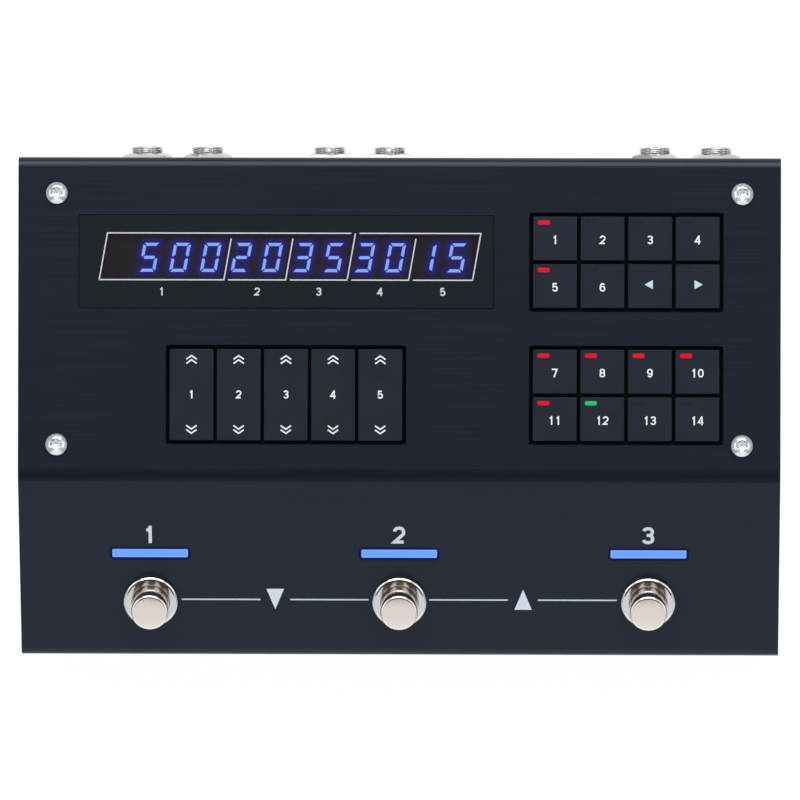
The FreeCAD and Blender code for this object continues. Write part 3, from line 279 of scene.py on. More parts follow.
def dress(material, *nodes):
    """Gives CAD nodes their finish on every slot."""
    for node in nodes:
        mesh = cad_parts[node].data
        mesh.materials.clear()
        mesh.materials.append(material)
        mesh.polygons.foreach_set("material_index", np.zeros(len(mesh.polygons), np.int32))


chassis_coat, tree, shader, place = finish(
    "black_powder_coat", "1c1e23", 0.45, Specular_IOR_Level=0.35)
patterned(tree, shader, colour=(grain(tree, place, 14.0), "191b20", "202329"),
          roughness=(grain(tree, place, 0.5), 0.4, 0.5),
          relief=(grain(tree, place, 1.6), 0.02))
dress(chassis_coat, "base_chassis")

# Four rubber feet, moulded in black nitrile and pulled through the bottom. The mould
# was blasted, so the rubber is matt and slightly dusty.
foot_rubber, tree, shader, place = finish(
    "moulded_nitrile_rubber", "1b1b1c", 0.8, Specular_IOR_Level=0.3)
patterned(tree, shader, colour=(grain(tree, place, 3.0), "161617", "242425"),
          relief=(grain(tree, place, 0.35), 0.03))
dress(foot_rubber, "rubber_feet")

# The boards: fibreglass laminate under green solder mask. The mask is glossy, and
# the copper tracks under it show as paler bands.
solder_mask, tree, shader, place = finish(
    "green_solder_mask", "0f3d27", 0.25, Coat_Weight=0.3)
flow = add(tree, "ShaderNodeTexVoronoi", {"Vector": place, "Scale": 1000.0 / 4.0},
           distance="MANHATTAN")
tracks = add(tree, "ShaderNodeTexWave", {
    "Vector": flow.outputs["Position"], "Scale": 1000.0 / 8.0, "Distortion": 6.0},
    bands_direction="DIAGONAL").outputs["Fac"]
patterned(tree, shader, colour=(tracks, "0d3422", "1c5a38", 0.45, 0.6),
          relief=(tracks, 0.03))
dress(solder_mask, "main_board", "panel_board", "footswitch_board")

# What stands on the boards: chips, capacitors, tact switches and socket housings,
# moulded in black thermoplastic with a fine sparked texture.
moulded_black, tree, shader, place = finish(
    "moulded_black_thermoplastic", "121317", 0.55, Specular_IOR_Level=0.35)
patterned(tree, shader, colour=(grain(tree, place, 5.0), "101115", "16181c"),
          relief=(grain(tree, place, 0.3), 0.015))
dress(moulded_black, "board_components", "tact_switches", "jack_bodies", "midi_sockets",
      "dc_socket", "power_switch", "footswitch_bodies", "display_frame")
well_black, tree, shader, place = finish(
    "matt_black_frame_moulding", "07080b", 0.6, Specular_IOR_Level=0.15)
patterned(tree, shader, colour=(grain(tree, place, 4.0), "06070a", "090a0e"),
          relief=(grain(tree, place, 0.3), 0.015))
dress(well_black, "key_frames", "rocker_frame")

lamp_chip, tree, shader, place = finish("phosphor_lamp_chip", "e8e0b0", 0.4)
patterned(tree, shader, colour=(grain(tree, place, 0.8), "ded6a4", "f2ecc8"))
dress(lamp_chip, "indicator_leds")

ribbon_wire, tree, shader, place = finish("grey_ribbon_cable", "8a8d92", 0.45)
wires = add(tree, "ShaderNodeTexWave", {"Vector": place, "Scale": 1000.0 / 1.27 / 20},
            bands_direction="X").outputs["Fac"]
patterned(tree, shader, colour=(wires, "74777c", "9b9ea3"), relief=(wires, 0.3))
dress(ribbon_wire, "ribbon_cables")

# Hardware inside: hexagonal brass standoffs under nickel, bright zinc screws and
# washers, spring steel and the rocker keys' axle.
nickel_hardware, tree, shader, place = finish(
    "nickel_plated_brass", "cfc8bc", 0.25, Metallic=1.0)
patterned(tree, shader, roughness=(grain(tree, place, 0.6), 0.2, 0.3),
          relief=(grain(tree, place, 0.4), 0.004))
dress(nickel_hardware, "hex_standoffs", "jack_contacts", "footswitch_bushings")

zinc_steel, tree, shader, place = finish("bright_zinc_steel", "c6c9cf", 0.3, Metallic=1.0)
patterned(tree, shader, colour=(grain(tree, place, 2.5), "bcc0c8", "cfd2d4"),
          roughness=(grain(tree, place, 0.5), 0.22, 0.36))
dress(zinc_steel, "board_screws", "jack_washers", "usb_socket")

spring_steel, tree, shader, place = finish("spring_steel", "a9abb0", 0.3, Metallic=1.0)
patterned(tree, shader, roughness=(grain(tree, place, 0.3), 0.25, 0.4))
dress(spring_steel, "footswitch_spring_left", "footswitch_spring_middle",
      "footswitch_spring_right", "rocker_axle")

# The top cover: one bent 1.6 mm sheet, deck, bend, foot slope and front wall. It is
# brushed along X and painted a blue black, so faint hairlines run across the deck
# under a satin lacquer.
deck_paint, tree, shader, place = finish(
    "blue_black_lacquer_on_brushed_sheet", "111722", 0.3, Specular_IOR_Level=0.33,
    Specular_Tint=(0.7, 0.82, 1.0, 1.0))
hairlines = grain(tree, place, 0.5, 3.0, (90.0, 1.0, 1.0))
patterned(tree, shader, colour=(hairlines, "0f1520", "131924"),
          roughness=(hairlines, 0.23, 0.27), relief=(hairlines, 0.002))
dress(deck_paint, "top_cover")

# Seven screws hold the cover: four button heads on the deck and three below. Each is
# cold headed steel under bright zinc, with a six-lobe recess punched in its crown.
deck_top = 65.0
bottom_face = 4.0
screw_head_radius = 3.8
screw_head_height = 2.2
screw_crown_radius = 2.1
crown_tilt = 30.0
rim_tilt = 46.0
dish_radius = 1.88
recess_radius = 1.6
recess_lobe_radius = 0.48
recess_mouth = 0.22 * dish_radius
recess_step = 0.32 * dish_radius
recess_depth = 1.1
recess_floor = 1.75
screw_shank_radius = 1.95
screw_length = 8.0
deck_screws = [(x, y) for x in (-119.1, 119.1) for y in (71.85, -15.55)]
bottom_screw_columns = (-96.0, 0.0, 96.0)
circle_steps = 96


def shell(rings, loop=False):
    """A closed surface through rings of points, joined in order. A ring of one repeated
    point is a pole, and loop joins the last ring to the first. The faces are turned
    outwards: the sum of the corners' triple products is six times the volume."""
    rings = np.asarray(rings, float)
    rows, columns = rings.shape[:2]
    index = np.arange(rows * columns).reshape(rows, columns)
    if not loop:
        for end in (0, -1):
            if np.ptp(rings[end, :, :3], axis=0).max() < 1e-9:
                index[end] = index[end, 0]
    lower, upper = (index, np.roll(index, -1, 0)) if loop else (index[:-1], index[1:])
    faces = np.stack([lower, np.roll(lower, -1, 1), np.roll(upper, -1, 1), upper], -1)
    faces = faces.reshape(-1, 4)
    points = rings.reshape(rows * columns, -1)
    a, b, c, d = (points[faces[:, i], :3] for i in range(4))
    volume = (a * np.cross(b, c)).sum() + (a * np.cross(c, d)).sum()
    return points, faces[:, ::-1] if volume < 0 else faces


def placed(shape, origin, axes=np.eye(3)):
    """A shell carried into a frame: origin plus its coordinates times the axes."""
    points, faces = shape
    moved = np.asarray(origin, float) + points[:, :3] @ np.asarray(axes, float)
    return np.concatenate([moved, points[:, 3:]], axis=1), faces


def piece(name, shells, material, body, sharp=35.0):
    """One object of closed shells in millimetres, smooth but for edges past an angle. A
    fourth coordinate becomes the attribute shade."""
    starts = np.cumsum([0] + [len(points) for points, _ in shells])[:-1]
    points = np.concatenate([points for points, _ in shells])
    faces = np.concatenate([faces + start for (_, faces), start in zip(shells, starts)])
    used, faces = np.unique(faces, return_inverse=True)
    faces = faces.reshape(-1, 4)
    points = points[used]
    first = faces[:, 0] == faces[:, 1]
    last = faces[:, 2] == faces[:, 3]
    middle = faces[:, 1] == faces[:, 2]
    wrap = faces[:, 3] == faces[:, 0]
    triangles = np.concatenate([faces[first][:, 1:], faces[last][:, :3],
                                faces[middle][:, [0, 1, 3]], faces[wrap][:, :3]])
    quads = faces[~(first | last | middle | wrap)]
    mesh = bpy.data.meshes.new(name)
    mesh.from_pydata((points[:, :3] / 1000).tolist(), [],
                     quads.tolist() + triangles.tolist())
    mesh.polygons.foreach_set("use_smooth", np.ones(len(mesh.polygons), bool))
    mesh.set_sharp_from_angle(angle=math.radians(sharp))
    if points.shape[1] > 3:
        shade = mesh.attributes.new("shade", "FLOAT", "POINT")
        shade.data.foreach_set("value", points[:, 3].astype(np.float32))
    mesh.materials.append(material)
    thing = bpy.data.objects.new(name, mesh)
    bpy.context.scene.collection.objects.link(thing)
    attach(thing, body)
    return thing


def rounded(corners, radii, steps=6):
    """A profile whose corners are arcs: each arc's ends lie radius over tan of half the
    corner's angle from it, and its points turn evenly about the centre."""
    profile = []
    last = len(corners) - 1
    for i, (corner, radius) in enumerate(zip(corners, radii)):
        corner = np.asarray(corner, float)
        if radius == 0 or i in (0, last):
            profile.append(corner)
            continue
        back = np.asarray(corners[i - 1], float) - corner
        ahead = np.asarray(corners[i + 1], float) - corner
        back /= np.linalg.norm(back)
        ahead /= np.linalg.norm(ahead)
        half = math.acos(np.clip(back @ ahead, -1, 1)) / 2
        reach = radius / math.tan(half)
        inward = (back + ahead) / np.linalg.norm(back + ahead)
        centre = corner + inward * radius / math.sin(half)
        start = corner + back * reach - centre
        stop = corner + ahead * reach - centre
        turn = np.linspace(0, 1, steps)[:, None]
        span = math.pi - 2 * half
        arc = start * np.sin((1 - turn) * span) + stop * np.sin(turn * span)
        profile.extend(centre + arc / math.sin(span))
    return np.array(profile)


def turned(profile, steps=circle_steps):
    """Rings of a turned shape: each profile point (radius, height) goes round the axis."""
    profile = np.asarray(profile, float)
    angle = np.arange(steps) * 2 * math.pi / steps
    radius, height = profile[:, :1], profile[:, 1:]
    return np.stack([radius * np.cos(angle), radius * np.sin(angle),
                     height + 0 * angle], -1)


def screw_head_and_shank():
    """The outside is turned, the head an arc between two tilts. In the recess a ring's
    radius follows six lobes: at an angle from a lobe's axis it is core cos a +
    sqrt(lobe squared - core squared sin squared a), and never less than the core."""
    tilts = np.radians(np.linspace(rim_tilt, crown_tilt, 12))
    rim = screw_head_radius - 0.12
    bulge = (rim - screw_crown_radius) / (math.sin(tilts[0]) - math.sin(tilts[-1]))
    across = screw_crown_radius + bulge * (np.sin(tilts) - math.sin(tilts[-1]))
    dome = screw_head_height + bulge * (np.cos(tilts) - math.cos(tilts[-1]))
    outside = [(0.0, -screw_length), (screw_shank_radius - 0.4, -screw_length),
               (screw_shank_radius, -screw_length + 0.4), (screw_shank_radius, 0.0),
               (screw_head_radius - 0.05, 0.0), (screw_head_radius, 0.05),
               (screw_head_radius, dome[0] - 0.2),
               (screw_head_radius - 0.03, dome[0] - 0.08),
               *zip(across, dome), (dish_radius, screw_head_height - 0.02)]
    angle = np.arange(circle_steps) * 2 * math.pi / circle_steps
    core = recess_radius - recess_lobe_radius
    folded = (angle + math.pi / 6) % (math.pi / 3) - math.pi / 6
    inside = recess_lobe_radius ** 2 - (core * np.sin(folded)) ** 2
    lobed = np.where(inside > 0, core * np.cos(folded) + np.sqrt(np.maximum(inside, 0)),
                     core)
    rings = [turned(outside)]
    for shrink, drop in ((0.0, recess_mouth), (0.05, recess_step), (0.1, recess_depth)):
        radius = lobed - shrink
        height = np.full(circle_steps, screw_head_height - drop)
        rings.append(np.stack([radius * np.cos(angle), radius * np.sin(angle), height],
                              -1)[None])
    rings.append(turned([(0.0, screw_head_height - recess_floor)]))
    return shell(np.concatenate(rings))


screw = screw_head_and_shank()
flipped = np.diag([1.0, -1.0, -1.0])
screw_zinc, tree, shader, place = finish("zinc_plated_screw", "cdd1d6", 0.2, Metallic=1.0)
patterned(tree, shader, roughness=(grain(tree, place, 0.4), 0.16, 0.28),
          relief=(grain(tree, place, 0.5), 0.004))
front_screw_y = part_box("cover_screws")[0][1] * 1000 + screw_head_radius
heads = [placed(screw, (x, y, deck_top)) for x, y in deck_screws]
heads += [placed(screw, (x, front_screw_y, bottom_face), flipped)
          for x in bottom_screw_columns]
cover_fixings = piece("cover_screw_set", heads, screw_zinc, "chassis")
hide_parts("cover_screws")

# The display: twelve seven-segment digits in four-fold modules with black faces. The
# lit segments are moulded light guides. The deep blue glow round each on the black face
# is painted light: emission on the face that stands in for the light the segments throw.
digit_count = 12
digit_pitch = 10.7
digit_row_x = -38.93
digit_row_y = 49.65
digit_height = 10.1
digit_width = 5.77
segment_width = 1.06
segment_gap = 0.34
digit_lean = math.tan(math.radians(10.6))
digit_face_z = 61.2
face_thickness = 0.04
segment_sink = 0.01
segment_rise = 0.06
face_low = (-102.8, 40.25)
face_high = (25.2, 59.05)
face_step = 0.25
glow_reach = 3.2
lit_segments = {" ": "", "0": "abcdef", "1": "bc", "2": "abged", "3": "abgcd",
                "5": "afgcd"}
shown_digits = " 50020353015"


def segment_outlines():
    """The seven segments of an upright digit about its middle, as polygons. They meet on
    mitred corners, and a gap is left on both sides of every joint."""
    w, h, t, g = digit_width / 2, digit_height / 2, segment_width, segment_gap
    top = [(-w + g * 1.4, h), (w - g * 1.4, h), (w - t - g * 0.4, h - t),
           (-w + t + g * 0.4, h - t)]
    upper = [(w, h - g * 1.4), (w, t * 0.12 + g), (w - t * 0.45, g), (w - t, t / 2 + g),
             (w - t, h - t - g * 0.4)]
    middle = [(-w + t * 0.5 + g, 0), (-w + t + g * 0.6, t / 2), (w - t - g * 0.6, t / 2),
              (w - t * 0.5 - g, 0), (w - t - g * 0.6, -t / 2), (-w + t + g * 0.6, -t / 2)]
    turn = lambda shape, x, y: [(px * x, py * y) for px, py in shape]
    return {"a": top, "d": turn(top, 1, -1), "b": upper, "c": turn(upper, 1, -1),
            "f": turn(upper, -1, 1), "e": turn(upper, -1, -1), "g": middle}


def plate(outline, low, high, chamfer=0.0, shade=None):
    """A flat plate over an outline seen from its middle: bottom pole, foot, edge, top and
    top pole. The chamfer pulls the top ring towards the middle. Shade gives the fourth
    coordinate of the edge and of the middle."""
    outline = np.asarray(outline, float)
    middle = outline.mean(0)
    reach = np.linalg.norm(outline - middle, axis=1, keepdims=True)
    inner = middle + (outline - middle) * (1 - chamfer / reach)
    pole = np.broadcast_to(middle, outline.shape)
    levels = [(pole, low, 0), (outline, low, 0), (outline, high - chamfer, 0),
              (inner, high, 0.5), (pole, high, 1)]
    rings = np.stack([np.column_stack([flat, np.full(len(outline), z)])
                      for flat, z, _ in levels])
    if shade is not None:
        tone = np.array([shade[0] + (shade[1] - shade[0]) * t for *_, t in levels])
        rings = np.concatenate([rings, np.broadcast_to(
            tone[:, None, None], (*rings.shape[:2], 1))], -1)
    return shell(rings)


outlines = segment_outlines()
lit = []
for slot_index, character in enumerate(shown_digits):
    middle_x = digit_row_x + (slot_index - (digit_count - 1) / 2) * digit_pitch
    for name in lit_segments[character]:
        flat = np.array(outlines[name])
        lit.append(np.column_stack([middle_x + flat[:, 0] + flat[:, 1] * digit_lean,
                                    digit_row_y + flat[:, 1]]))

light_guide, tree, shader, place = finish(
    "lit_blue_segment", "0a1040", 0.4, Emission_Color=linear("88aeff"),
    Emission_Strength=3.0)
face_top_z = digit_face_z + face_thickness
piece("lit_segments", [plate(flat, face_top_z - segment_sink, face_top_z + segment_rise)
                       for flat in lit], light_guide, "chassis")

xs = np.arange(face_low[0], face_high[0] + face_step / 2, face_step)
ys = np.arange(face_low[1], face_high[1] + face_step / 2, face_step)
field = np.stack(np.meshgrid(xs, ys, indexing="ij"), -1)


def distance_to_edges(points, outline):
    """Distance of points from a polygon's edges: along each edge the nearest place is the
    projection, held between the edge's ends."""
    starts, stops = outline, np.roll(outline, -1, 0)
    along = stops - starts
    from_start = points[..., None, :] - starts
    share = np.clip((from_start * along).sum(-1) / (along ** 2).sum(-1), 0, 1)
    return np.linalg.norm(from_start - share[..., None] * along, axis=-1).min(-1)


# The painted glow: one at a lit segment's edge, falling to nought at glow_reach.
glow = np.zeros(field.shape[:2])
for flat in lit:
    near = np.abs(field - flat.mean(0)).max(-1) < digit_height / 2 + 1
    reach = distance_to_edges(field[near], flat)
    glow[near] = np.maximum(glow[near], np.clip(1 - reach / glow_reach, 0, 1))
face_top = np.concatenate([field, np.full((*field.shape[:2], 1), face_top_z),
                           glow[..., None]], -1)


def slab(top, drop):
    """A thin slab under a grid of top points: the grid, its copy lower down, and a strip
    of faces round the rim."""
    rows, columns = top.shape[:2]
    bottom = top.copy()
    bottom[..., 2] -= drop
    index = np.arange(rows * columns).reshape(rows, columns)
    cells = np.stack([index[:-1, :-1], index[1:, :-1], index[1:, 1:], index[:-1, 1:]], -1)
    cells = cells.reshape(-1, 4)
    rim = np.concatenate([index[:-1, 0], index[-1, :-1], index[:0:-1, -1], index[0, :0:-1]])
    ahead = np.roll(rim, -1)
    count = rows * columns
    walls = np.stack([ahead, rim, rim + count, ahead + count], -1)
    faces = np.concatenate([cells, cells[:, ::-1] + count, walls])
    points = np.concatenate([top.reshape(count, -1), bottom.reshape(count, -1)])
    return points, faces


def lit_through(tree, shader, stops, strength=1.0, field=None):
    """Emission whose colour follows a field through stops of level and colour. The field
    is the piece's own shade where none is given."""
    if field is None:
        field = add(tree, "ShaderNodeAttribute", attribute_name="shade").outputs["Fac"]
    ramp = add(tree, "ShaderNodeValToRGB", {"Fac": field})
    for end, (level, colour) in zip(ramp.color_ramp.elements, (stops[0], stops[-1])):
        end.position, end.color = level, linear(colour)
    for level, colour in stops[1:-1]:
        ramp.color_ramp.elements.new(level).color = linear(colour)
    tree.links.new(ramp.outputs[0], shader.inputs["Emission Color"])
    shader.inputs["Emission Strength"].default_value = strength


# The face emits the painted glow as painted light, deep blue near the lit segments.
glow_painted_face, tree, shader, place = finish("black_digit_face_painted_glow", "15110f", 0.5)
lit_through(tree, shader, [(0.0, "000000"), (0.3, "050530"), (0.47, "06085c"),
                           (0.75, "0206a0"), (1.0, "0a12c8")])
patterned(tree, shader, relief=(grain(tree, place, 0.4), 0.01))
piece("digit_face_painted_glow", [slab(face_top, face_thickness)], glow_painted_face, "chassis")
dress(glow_painted_face, "digit_modules")

# The display window: a smoked acrylic pane in the deck, polished on top. Its back is
# sprayed black all round the slanted field through which the digits show.
pane_top = 64.7
field_middle = (-38.0, 49.925)
field_half = (64.9, 8.125)
field_slant = 0.1755
field_opacity = 0.45
smoked_pane, tree, shader, place = finish(
    "smoked_acrylic_pane", "101318", 0.16, Specular_IOR_Level=0.2, IOR=1.49)
centred = add(tree, "ShaderNodeVectorMath", [
    place, (field_middle[0] / 1000, field_middle[1] / 1000, 0.0)],
    operation="SUBTRACT").outputs["Vector"]
sides = []
for axis, half in zip(((1.0, -field_slant, 0.0), (0.0, 1.0, 0.0)), field_half):
    off = add(tree, "ShaderNodeVectorMath", [centred, axis], operation="DOT_PRODUCT")
    sides.append(add(tree, "ShaderNodeMath", [off.outputs["Value"], 0.0, half / 1000],
                     operation="COMPARE").outputs[0])
inside = add(tree, "ShaderNodeMath", sides, operation="MULTIPLY").outputs[0]
opacity = add(tree, "ShaderNodeMapRange", {
    "Value": inside, "To Min": 1.0, "To Max": field_opacity}).outputs["Result"]
tree.links.new(opacity, shader.inputs["Alpha"])
tint = add(tree, "ShaderNodeMixRGB", [inside, linear("161d23"), linear("26222a")])
tree.links.new(tint.outputs[0], shader.inputs["Base Color"])
patterned(tree, shader, roughness=(grain(tree, place, 8.0), 0.14, 0.18))
dress(smoked_pane, "display_window")

# Print on the pane: a slanted frame with a bar between the groups of digits, and a
# plain number under each group. It is silk screened in pale grey ink.
print_rise = 0.04
print_sink = 0.02
layer_rise = 0.004
pane_line_width = 0.43
numeral_aspect = 0.6


def ribbon(path, width, low, high, loop=False):
    """A bar of rectangular section along a flat path. At a corner the section lies on the
    bisector: the sum of both normals over half its squared length is the mitre."""
    path = np.asarray(path, float)
    ahead = np.roll(path, -1, 0) - path
    behind = np.roll(ahead, 1, 0)
    if not loop:
        ahead[-1], behind[0] = ahead[-2], ahead[0]
    ahead, behind = (d / np.linalg.norm(d, axis=1, keepdims=True) for d in (ahead, behind))
    normals = ahead + behind
    normals = np.stack([-normals[:, 1], normals[:, 0]], -1)
    side = normals / ((normals ** 2).sum(1, keepdims=True) / 2) * width / 2
    flat = np.stack([path + side, path - side, path - side, path + side], 1)
    height = np.broadcast_to(np.array([low, low, high, high])[:, None],
                             (*flat.shape[:2], 1))
    rings = np.concatenate([flat, height], -1)
    if not loop:
        ends = [np.broadcast_to(rings[i].mean(0), rings[i].shape)[None] for i in (0, -1)]
        rings = np.concatenate([ends[0], rings, ends[1]])
    return shell(rings, loop)


def sweep(x, y, rx, ry, start, stop, steps=22, loop=False):
    """Part of an oval about (x, y): cosine and sine raised to 2 over 2.3, signs kept, so
    its sides are a little squarer than an ellipse's."""
    angle = np.radians(np.linspace(start, stop, steps, endpoint=not loop))
    power = 2 / 2.3
    bow = lambda wave: np.sign(wave) * np.abs(wave) ** power
    return np.stack([x + rx * bow(np.cos(angle)), y + ry * bow(np.sin(angle))], -1)


def numeral_paths(w=numeral_aspect, e=0.12):
    """Centre lines of plain sans numerals, one unit high, as (path, loop) pairs. A
    straight end runs on by e, half a stroke, to the height of the round strokes."""
    m = w / 2
    waist = (m * 0.7, 0.52)
    six = [(sweep(m, 0.31, m, 0.31, 0, 360, 28, True), True),
           (np.concatenate([[(0.0, 0.3)], sweep(m, 0.52, m, 0.48, 180, 38)]), False)]
    nine = [(np.array([w, 1.0]) - path, loop) for path, loop in six]
    return {
        "0": [(sweep(m, 0.5, m, 0.5, 0, 360, 36, True), True)],
        "1": [([(m * 1.15, -e), (m * 1.15, 1 + e)], False),
              ([(m * 0.3, 0.79), (m * 0.8, 0.84), (m * 1.15, 1.0)], False)],
        "2": [(np.concatenate([sweep(m, 0.7, m, 0.3, 172, -28), [(0.0, 0.0), (w, 0.0)]]),
               False)],
        "3": [(np.concatenate([sweep(m, 0.76, m * 0.94, 0.24, 165, -90), [waist]]), False),
              (np.concatenate([[waist], sweep(m, 0.26, m, 0.26, 90, -165)]), False)],
        "4": [([(w * 0.74, 1.04), (w * -0.05, 0.25), (w * 1.15, 0.25)], False),
              ([(w * 0.78, -e), (w * 0.78, 1 + e)], False)],
        "5": [(np.concatenate([[(w * 0.92, 1.0), (w * 0.12, 1.0), (w * 0.06, 0.52)],
                               sweep(m, 0.31, m, 0.31, 130, -165)]), False)],
        "6": six,
        "7": [([(-e, 1.0), (w, 1.0), (w * 0.3, -e)], False)],
        "8": [(sweep(m, 0.755, m * 0.9, 0.245, 0, 360, 28, True), True),
              (sweep(m, 0.26, m, 0.26, 0, 360, 28, True), True)],
        "9": nine,
    }


numerals = numeral_paths()


def number(text, x, y, height, stroke, low, high):
    """A number centred on (x, y). Its cap height counts half a stroke at either end, and
    where two strokes of a numeral cross, the second lies a little higher."""
    tall = height - stroke
    advance = tall * numeral_aspect + stroke + height * 0.13
    start = x - (len(text) - 1) * advance / 2 - tall * numeral_aspect / 2
    return [ribbon(np.asarray(path) * tall + (start + i * advance, y - tall / 2),
                   stroke, low, high + layer_rise * layer, loop)
            for i, digit in enumerate(text)
            for layer, (path, loop) in enumerate(numerals[digit])]


def on_frame(x, y):
    """A point on the pane whose x is given at the height of the frame's top line."""
    return x - field_slant * (frame_top - y), y


frame_left = -101.5
frame_right = 28.31
frame_top = 58.05
frame_bottom = 41.8
short_bar_top = 56.18
short_bars = (-58.13, -36.66, 6.1)
long_bar = -15.28
long_bar_gap = 1.42
bottom_gap = 1.45
label_places = (-82.6, -49.4, -28.0, -6.7, 15.1)
label_y = 37.75
label_height = 2.8
label_stroke = 0.5
pane_ink, tree, shader, place = finish("pale_grey_screen_ink", "adb3bc", 0.5)
patterned(tree, shader, colour=(grain(tree, place, 0.6), "a7adb6", "b3b9c2"),
          relief=(grain(tree, place, 0.25), 0.005))
low, high = pane_top - print_sink, pane_top + print_rise
lines = [[on_frame(frame_left, frame_bottom), (frame_left, frame_top),
          (long_bar - long_bar_gap, frame_top)],
         [(long_bar + long_bar_gap, frame_top), (frame_right, frame_top),
          on_frame(frame_right, frame_bottom)]]
lines += [[on_frame(x, short_bar_top), on_frame(x, frame_bottom)] for x in short_bars]
lines += [[(long_bar, frame_top), on_frame(long_bar, frame_bottom)]]
half_line = pane_line_width / 2
bottom_ends = [frame_left, *sorted([*short_bars, long_bar]), frame_right]
for left, right_end in zip(bottom_ends[:-1], bottom_ends[1:]):
    gap = -half_line if left == frame_left else bottom_gap
    lines.append([(on_frame(left, frame_bottom)[0] + gap, frame_bottom),
                  (on_frame(right_end, frame_bottom)[0] + half_line, frame_bottom)])
pane_print = [ribbon(path, pane_line_width, low, high + layer_rise * (layer % 3))
              for layer, path in enumerate(lines)]
for index, x in enumerate(label_places):
    pane_print += number(str(index + 1), x, label_y, label_height, label_stroke, low, high)
piece("display_print", pane_print, pane_ink, "chassis")

# Sixteen push keys in two blocks: hollow caps moulded in dark grey ABS with a finely
# sparked top, each with a clear lamp window let in near its rear left corner.
key_plastic, tree, shader, place = finish(
    "sparked_dark_grey_abs", "1b212d", 0.5, Specular_IOR_Level=0.08)
patterned(tree, shader, colour=(grain(tree, place, 9.0), "1a202c", "1d232f"),
          roughness=(grain(tree, place, 0.25), 0.45, 0.55),
          relief=(grain(tree, place, 0.22), 0.006))
key_names = ["number_key_1", "number_key_2", "number_key_3", "number_key_4",
             "bank_key_1", "bank_key_2", "left_arrow_key", "right_arrow_key",
             *[f"mode_key_{i}" for i in range(1, 9)]]
key_signs = ["1", "2", "3", "4", "5", "6", "<", ">", *[str(i) for i in range(7, 15)]]
red_lamps = {"number_key_1", "bank_key_1", *[f"mode_key_{i}" for i in range(1, 6)]}
green_lamps = {"mode_key_6"}
lamp_place = (-3.95, 5.55)
lamp_size = (4.3, 1.6)
lamp_corner = 0.55
lamp_rise = 0.03
sign_height = 2.95
sign_stroke = 0.48
sign_drop = 0.45
arrow_half = (1.42, 1.6)
arrow_rise = 0.55
arrow_shifts = {"<": -0.45, ">": 0.35}


def rounded_rectangle(width, height, corner, steps=6):
    """An outline of four quarter arcs about the corners' centres, joined straight."""
    angle = np.radians(np.linspace(0, 90, steps))
    turns = np.arange(4)[:, None] * math.pi / 2 + angle
    centres = np.array([(1, 1), (-1, 1), (-1, -1), (1, -1)]) * (
        (width / 2 - corner), (height / 2 - corner))
    arcs = corner * np.stack([np.cos(turns), np.sin(turns)], -1)
    return (centres[:, None] + arcs).reshape(-1, 2)


def lamp_lens(name, edge, middle, strength):
    """A moulded clear window, lit from below: brighter in the middle than at its edge."""
    material, tree, shader, place = finish(name, edge, 0.35, Specular_IOR_Level=0.1)
    lit_through(tree, shader, [(0.0, edge), (0.6, middle)], strength)
    return material


def cap_middle(name):
    """The middle of a key's top, in millimetres."""
    low, high = (np.array(end) * 1000 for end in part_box(name))
    return (low[0] + high[0]) / 2, (low[1] + high[1]) / 2, high[2]


red_lens = lamp_lens("lit_red_lamp_window", "4a0610", "e4141f", 0.85)
green_lens = lamp_lens("lit_green_lamp_window", "06401f", "26c872", 0.8)
dark_lens, tree, shader, place = finish(
    "unlit_lamp_window", "12171f", 0.4, Specular_IOR_Level=0.2)
patterned(tree, shader, roughness=(grain(tree, place, 1.0), 0.35, 0.45))
key_ink, tree, shader, place = finish("white_key_ink", "ccd3dc", 0.5)
patterned(tree, shader, colour=(grain(tree, place, 0.6), "c6cdd7", "d1d8e0"))
arrow_ink, tree, shader, place = finish("pale_blue_key_ink", "a6bfca", 0.5)
patterned(tree, shader, colour=(grain(tree, place, 0.6), "a0bac6", "acc4ce"))

for name, sign in zip(key_names, key_signs):
    x, y, key_top = cap_middle(name)
    dress(key_plastic, name)
    lamp_x, lamp_y = x + lamp_place[0], y + lamp_place[1]
    lens_outline = rounded_rectangle(*lamp_size, lamp_corner) + (lamp_x, lamp_y)
    lamp = (red_lens if name in red_lamps else green_lens if name in green_lamps
            else dark_lens)
    piece(f"{name}_lamp", [plate(lens_outline, key_top - print_sink, key_top + lamp_rise,
                                 0.1, (0.0, 1.0))], lamp, name)
    low, high = key_top - print_sink, key_top + print_rise
    if sign in arrow_shifts:
        tip = -arrow_half[0] if sign == "<" else arrow_half[0]
        arrow = np.array([(tip, 0), (-tip, arrow_half[1]), (-tip, -arrow_half[1])])
        shapes = [plate(arrow + (x + arrow_shifts[sign], y + arrow_rise), low, high)]
        piece(f"{name}_sign", shapes, arrow_ink, name)
    else:
        shapes = number(sign, x, y - sign_drop, sign_height, sign_stroke, low, high)
        piece(f"{name}_sign", shapes, key_ink, name)

# Five rocker keys on one axle, moulded like the push keys. Each has double chevrons at
# its ends and a plain number in its middle.
chevron_half = 1.8
chevron_rise = 1.25
chevron_step = 1.45
chevron_stroke = 0.5
chevron_offsets = ((12.19, 1), (-12.07, -1))
rocker_number_rise = 0.1
for index in range(5):
    name = f"rocker_key_{index + 1}"
    dress(key_plastic, name)
    x, rocker_y, key_top = cap_middle(name)
    low, high = key_top - print_sink, key_top + print_rise
    signs = []
    for offset, way in chevron_offsets:
        for step in (-0.5, 0.5):
            foot = rocker_y + offset + way * (step * chevron_step - chevron_rise / 2)
            signs.append(ribbon([(x - chevron_half, foot), (x, foot + way * chevron_rise),
                                 (x + chevron_half, foot)], chevron_stroke, low, high))
    signs += number(str(index + 1), x, rocker_y + rocker_number_rise, label_height,
                    label_stroke, low, high)
    piece(f"{name}_signs", signs, key_ink, name)
